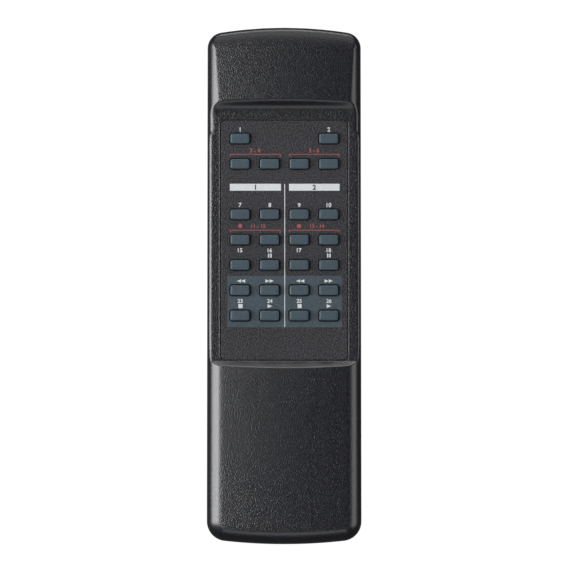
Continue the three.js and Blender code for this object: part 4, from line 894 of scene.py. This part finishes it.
def spring(node, button):
    """A cone spring: a round wire carried along a helix whose radius shrinks towards the cell. It points
    to the head, or to the tail when its sign is -1."""
    low, high = node_corners(node)
    share = np.linspace(0, 1, SPRING_STEPS + 1)[:, None]
    turn = share * SPRING_TURNS * 2 * math.pi
    radius = SPRING_R0 + (SPRING_R1 - SPRING_R0) * share
    round_wire = np.arange(12) / 12 * 2 * math.pi
    out = radius + SPRING_WIRE * np.cos(round_wire)
    along = SPRING_WIRE + (SPRING_L - 2 * SPRING_WIRE) * share + SPRING_WIRE * np.sin(round_wire)
    base = low[1] if button > 0 else high[1]
    centre_x = -SPRING_X if low[0] < -5 else SPRING_X
    x = centre_x + button * out * np.cos(turn)
    z = SPRING_Z + out * np.sin(turn)
    made = piece("skin_" + node, *swept(np.stack([x, base + button * along, z], -1)), NICKEL, 40)
    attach(made, "case")
    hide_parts(node)


cell("cell_left", 1)
cell("cell_right", -1)
spring("spring_tail", 1)
spring("spring_head", -1)

# Print on the plate: thin raised ink, which rides on the case with it

INK, INK_LIFT = 0.02, 0.01  # the ink's thickness, and how much higher it lies on the tinted block
INK_Z = PLATE_TOP - 0.005
BLOCK_Z = PLATE_TOP + 0.012
LINE = 0.24


def bar(x0, y0, x1, y1, lift=0.0):
    """A printed rectangle."""
    return box((x0, y0, INK_Z), (x1, y1, PLATE_TOP + INK + lift))


def arrow(x, y, width, height, turn=1, lift=0.0):
    """A printed triangle that points right, or left when its turn is -1."""
    corners = [(-width / 2, -height / 2), (width / 2, 0), (-width / 2, height / 2)]
    points = np.array(corners) * [turn, 1] + [x, y]
    return prism(points[::turn], INK_Z, PLATE_TOP + INK + lift)


def disc(x, y, radius):
    """A printed dot."""
    return turned([(radius, INK_Z), (radius, PLATE_TOP + INK)], 24, "z", (x, y, 0))


def bracket(x0, x1, y, drop):
    """A printed line across two keys whose ends turn down."""
    ends = [bar(x, y - drop, x + LINE, y - LINE) for x in (x0, x1 - LINE)]
    return [bar(x0, y - LINE, x1, y)] + ends


def numeral(text, x, y, height, lift=0.0):
    """Plain figures in the built-in typeface, centred on a point and raised by the ink's thickness."""
    curve = bpy.data.curves.new("figures", "FONT")
    curve.body = text
    curve.size = 1.0
    curve.offset = 0.028
    curve.extrude = 0.5
    curve.resolution_u = 5
    curve.align_x = "CENTER"
    holder = bpy.data.objects.new("figures", curve)
    bpy.context.scene.collection.objects.link(holder)
    graph = bpy.context.evaluated_depsgraph_get()
    mesh = bpy.data.meshes.new_from_object(holder.evaluated_get(graph))
    points = np.empty(len(mesh.vertices) * 3)
    mesh.vertices.foreach_get("co", points)
    points = points.reshape(-1, 3)
    faces = [list(p.vertices) for p in mesh.polygons]
    low, high = points.min(0), points.max(0)
    scale = height / (high[1] - low[1])
    flat = (points[:, :2] - (low[:2] + high[:2]) / 2) * scale + [x, y]
    z = np.where(points[:, 2] > 0, PLATE_TOP + INK + lift, INK_Z)
    bpy.data.objects.remove(holder)
    bpy.data.curves.remove(curve)
    bpy.data.meshes.remove(mesh)
    return np.c_[flat, z], faces


def printed(name, finish, *shapes):
    """Ink shapes as one piece that rides on the case."""
    made = piece(name, *merged(*shapes), finish, 30, 1e-3)
    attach(made, "case")


LEFT_X, RIGHT_X = (-17.55, -1.2), (1.5, 17.75)
COLUMN_X = (-14.3, -4.7, 4.8, 14.4)
BOX_Y0, BOX_Y1 = 30.77, 33.0
ARROW_W, ARROW_H, ARROW_STEP = 1.36, 1.1, 0.68
red = []
for x0, x1 in (LEFT_X, RIGHT_X):
    red += bracket(x0, x1, 42.65, 0.9) + bracket(x0, x1, 18.1, 0.85)
red += [disc(-14.24, 19.35, 0.72), disc(4.75, 19.35, 0.72)]
red += [numeral("3 - 4", -9.5, 43.78, 1.4), numeral("5 - 6", 9.6, 43.78, 1.4)]
red += [numeral("11 - 12", -8.4, 19.35, 1.3), numeral("13 - 14", 10.6, 19.35, 1.3)]
printed("print_red", RED, *red)

block_shape = round_rectangle(37.0, 16.6, 0.3, 4, (0.13, -5.06))
block = piece("block", *prism(block_shape, INK_Z, BLOCK_Z), BLOCK, 30)
low_keys = [n for n in keys if centre_of(n)[1] < 3]
openings = [key_opening(n, KEY_GAP + 0.12, PLATE_TOP - 1, PLATE_TOP + 1) for n in low_keys]
combine(block, "DIFFERENCE", merged(*openings))
soften(block, 30)
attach(block, "case")

white = [bar(-17.6, BOX_Y0, -1.1, BOX_Y1), bar(1.5, BOX_Y0, 17.85, BOX_Y1)]
white += [bar(0.0, -13.3, LINE, 32.93)]
white += [numeral("1", -14.3, 50.55, 1.4), numeral("2", 14.35, 50.55, 1.4)]
for first, y, height, lift in ((7, 26.12, 1.4, 0), (15, 11.5, 1.35, 0), (23, -4.88, 1.3, INK_LIFT)):
    white += [numeral(str(first + i), x, y, height, lift) for i, x in enumerate(COLUMN_X)]
for x in COLUMN_X[1::2]:
    white += [bar(x + left, 9.15, x + left + 0.45, 10.4) for left in (-0.6, 0.15)]
for x, turn, shift in zip(COLUMN_X, (-1, 1, -1, 1), (0.3, -0.05, 0.3, -0.05)):
    for step in (-ARROW_STEP, ARROW_STEP):
        white.append(arrow(x + shift + step, 1.58, ARROW_W, ARROW_H, turn, INK_LIFT))
for x in COLUMN_X[::2]:
    white.append(bar(x - 0.55, -7.2, x + 0.8, -5.9, INK_LIFT))
for x in COLUMN_X[1::2]:
    white.append(arrow(x + 0.05, -6.55, 1.55, 1.2, 1, INK_LIFT))
printed("print_white", WHITE, *white)
deck_figures = [numeral(text, x, 31.88, 1.7, 2 * INK_LIFT) for text, x in (("1", -9.35), ("2", 9.7))]
printed("deck_figures", EPOXY, *deck_figures)

# Camera and light

FAR = 2.5
TILT_X, TILT_Y = math.radians(-0.4), math.radians(-0.24)
LOOK = Vector((0.11, 0.48, 8.65)) * MM
PIXELS_PER_MM, PIXELS, SENSOR = 3.083, 569, 36

away = Vector((math.sin(TILT_X), math.sin(TILT_Y), 0))
away.z = math.sqrt(1 - away.length_squared)
camera = bpy.data.objects.new("camera", bpy.data.cameras.new("camera"))
bpy.context.scene.collection.objects.link(camera)
right = Vector((0, 1, 0)).cross(away).normalized()
up = away.cross(right)
turn = Matrix((right, up, away)).transposed().to_4x4()
camera.matrix_world = Matrix.Translation(LOOK + away * FAR) @ turn
camera.data.sensor_width = SENSOR
camera.data.lens = SENSOR * PIXELS_PER_MM / PIXELS * (FAR / MM)
camera.data.clip_end = 20
bpy.context.scene.camera = camera

AIM = Vector((0, 0, 0.01))


def lamp(name, place, size, radiance):
    """A soft box at a place, of a size in metres, aimed at the remote. Its power follows from its
    radiance and its area."""
    data = bpy.data.lights.new(name, "AREA")
    data.shape = "RECTANGLE"
    data.size, data.size_y = size
    data.energy = radiance * math.pi * size[0] * size[1]
    made = bpy.data.objects.new(name, data)
    bpy.context.scene.collection.objects.link(made)
    made.location = place
    made.rotation_euler = (AIM - Vector(place)).to_track_quat("-Z", "Y").to_euler()


SIDE_BOX, END_BOX = (0.6, 0.5), (0.9, 0.35)
lamp("left_low", (-1.05, 0.0, 0.38), SIDE_BOX, 5.2)
lamp("left_middle", (-0.92, 0.0, 0.62), SIDE_BOX, 4.1)
lamp("left_high", (-0.72, 0.0, 0.88), SIDE_BOX, 7.1)
lamp("over_left", (-0.42, 0.1, 1.1), SIDE_BOX, 0.85)
lamp("right_fill", (0.95, -0.1, 0.5), (0.8, 0.5), 2.1)
lamp("head_strip", (0.0, 1.2, 0.06), (1.2, 0.2), 8.0)
lamp("head_low", (0.0, 1.08, 0.38), END_BOX, 1.4)
lamp("head_high", (0.0, 0.8, 0.75), END_BOX, 1.25)
lamp("tail_fill", (0.0, -0.85, 0.78), END_BOX, 1.3)

# A white world for the camera, and a dim one for the object

world = bpy.data.worlds.new("studio")
bpy.context.scene.world = world
world.use_nodes = True
sky = world.node_tree.nodes["Background"]
sky.inputs["Color"].default_value = (1, 1, 1, 1)
path = world.node_tree.nodes.new("ShaderNodeLightPath")
bright = world.node_tree.nodes.new("ShaderNodeMapRange")
bright.inputs["To Min"].default_value = 0.06
bright.inputs["To Max"].default_value = 1.0
world.node_tree.links.new(path.outputs["Is Camera Ray"], bright.inputs["Value"])
world.node_tree.links.new(bright.outputs["Result"], sky.inputs["Strength"])

# A white floor that keeps the object's shadow, and that the object itself hardly mirrors

FLOOR_HALF, FLOOR_DROP = 3, 2e-5
GLOW = 1.17
square = (-1, -1), (1, -1), (1, 1), (-1, 1)
corners = [(x * FLOOR_HALF, y * FLOOR_HALF, -FLOOR_DROP) for x, y in square]
floor_mesh = bpy.data.meshes.new("floor")
floor_mesh.from_pydata(corners, [], [(0, 1, 2, 3)])
floor = bpy.data.objects.new("floor", floor_mesh)
bpy.context.scene.collection.objects.link(floor)
paper = bpy.data.materials.new("floor_paper")
paper.use_nodes = True
tree = paper.node_tree
tree.nodes.clear()
floor_out = tree.nodes.new("ShaderNodeOutputMaterial")
matt = tree.nodes.new("ShaderNodeBsdfDiffuse")
tone = tree.nodes.new("ShaderNodeMix")
tone.data_type = "RGBA"
tone.inputs["A"].default_value = (0.03, 0.03, 0.03, 1)
tone.inputs["B"].default_value = (0.45, 0.45, 0.45, 1)
tree.links.new(tone.outputs["Result"], matt.inputs["Color"])
glow = tree.nodes.new("ShaderNodeEmission")
glow.inputs["Strength"].default_value = GLOW
mixer = tree.nodes.new("ShaderNodeMixShader")
rays = tree.nodes.new("ShaderNodeLightPath")
tree.links.new(rays.outputs["Is Camera Ray"], tone.inputs["Factor"])


def ray_share(ray, amount):
    """An amount for one kind of ray, and nothing for the others."""
    node = tree.nodes.new("ShaderNodeMath")
    node.operation = "MULTIPLY"
    node.inputs[1].default_value = amount
    tree.links.new(rays.outputs[ray], node.inputs[0])
    return node.outputs[0]


def larger(a, b):
    """The larger of two values."""
    node = tree.nodes.new("ShaderNodeMath")
    node.operation = "MAXIMUM"
    tree.links.new(a, node.inputs[0])
    tree.links.new(b, node.inputs[1])
    return node.outputs[0]


seen = larger(ray_share("Is Camera Ray", 0.85), ray_share("Is Transmission Ray", 0.85))
tree.links.new(larger(seen, ray_share("Is Glossy Ray", 0.05)), mixer.inputs["Fac"])
tree.links.new(matt.outputs[0], mixer.inputs[1])
tree.links.new(glow.outputs[0], mixer.inputs[2])
tree.links.new(mixer.outputs[0], floor_out.inputs["Surface"])
floor_mesh.materials.append(paper)

bpy.context.scene.view_settings.view_transform = "Standard"

# Finishes of the CAD nodes that stay

FINISH = {
    "keypad_sheet": RUBBER,
    "circuit_board": BOARD,
    "ir_window": WINDOW,
    "ir_led": DIODE,
    "contact_positive": NICKEL,
    "contact_negative": NICKEL,
    "contact_bridge": NICKEL,
    "case_screw_left": STEEL,
    "case_screw_right": STEEL,
    "remote_chip": EPOXY,
    "transistor": EPOXY,
    "resonator": CERAMIC,
    "capacitor": SLEEVE,
    "resistor_1": LACQUER,
    "resistor_2": LACQUER,
}
for name, finish in FINISH.items():
    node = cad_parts[name]
    for index in range(len(node.material_slots)):
        node.material_slots[index].material = finish
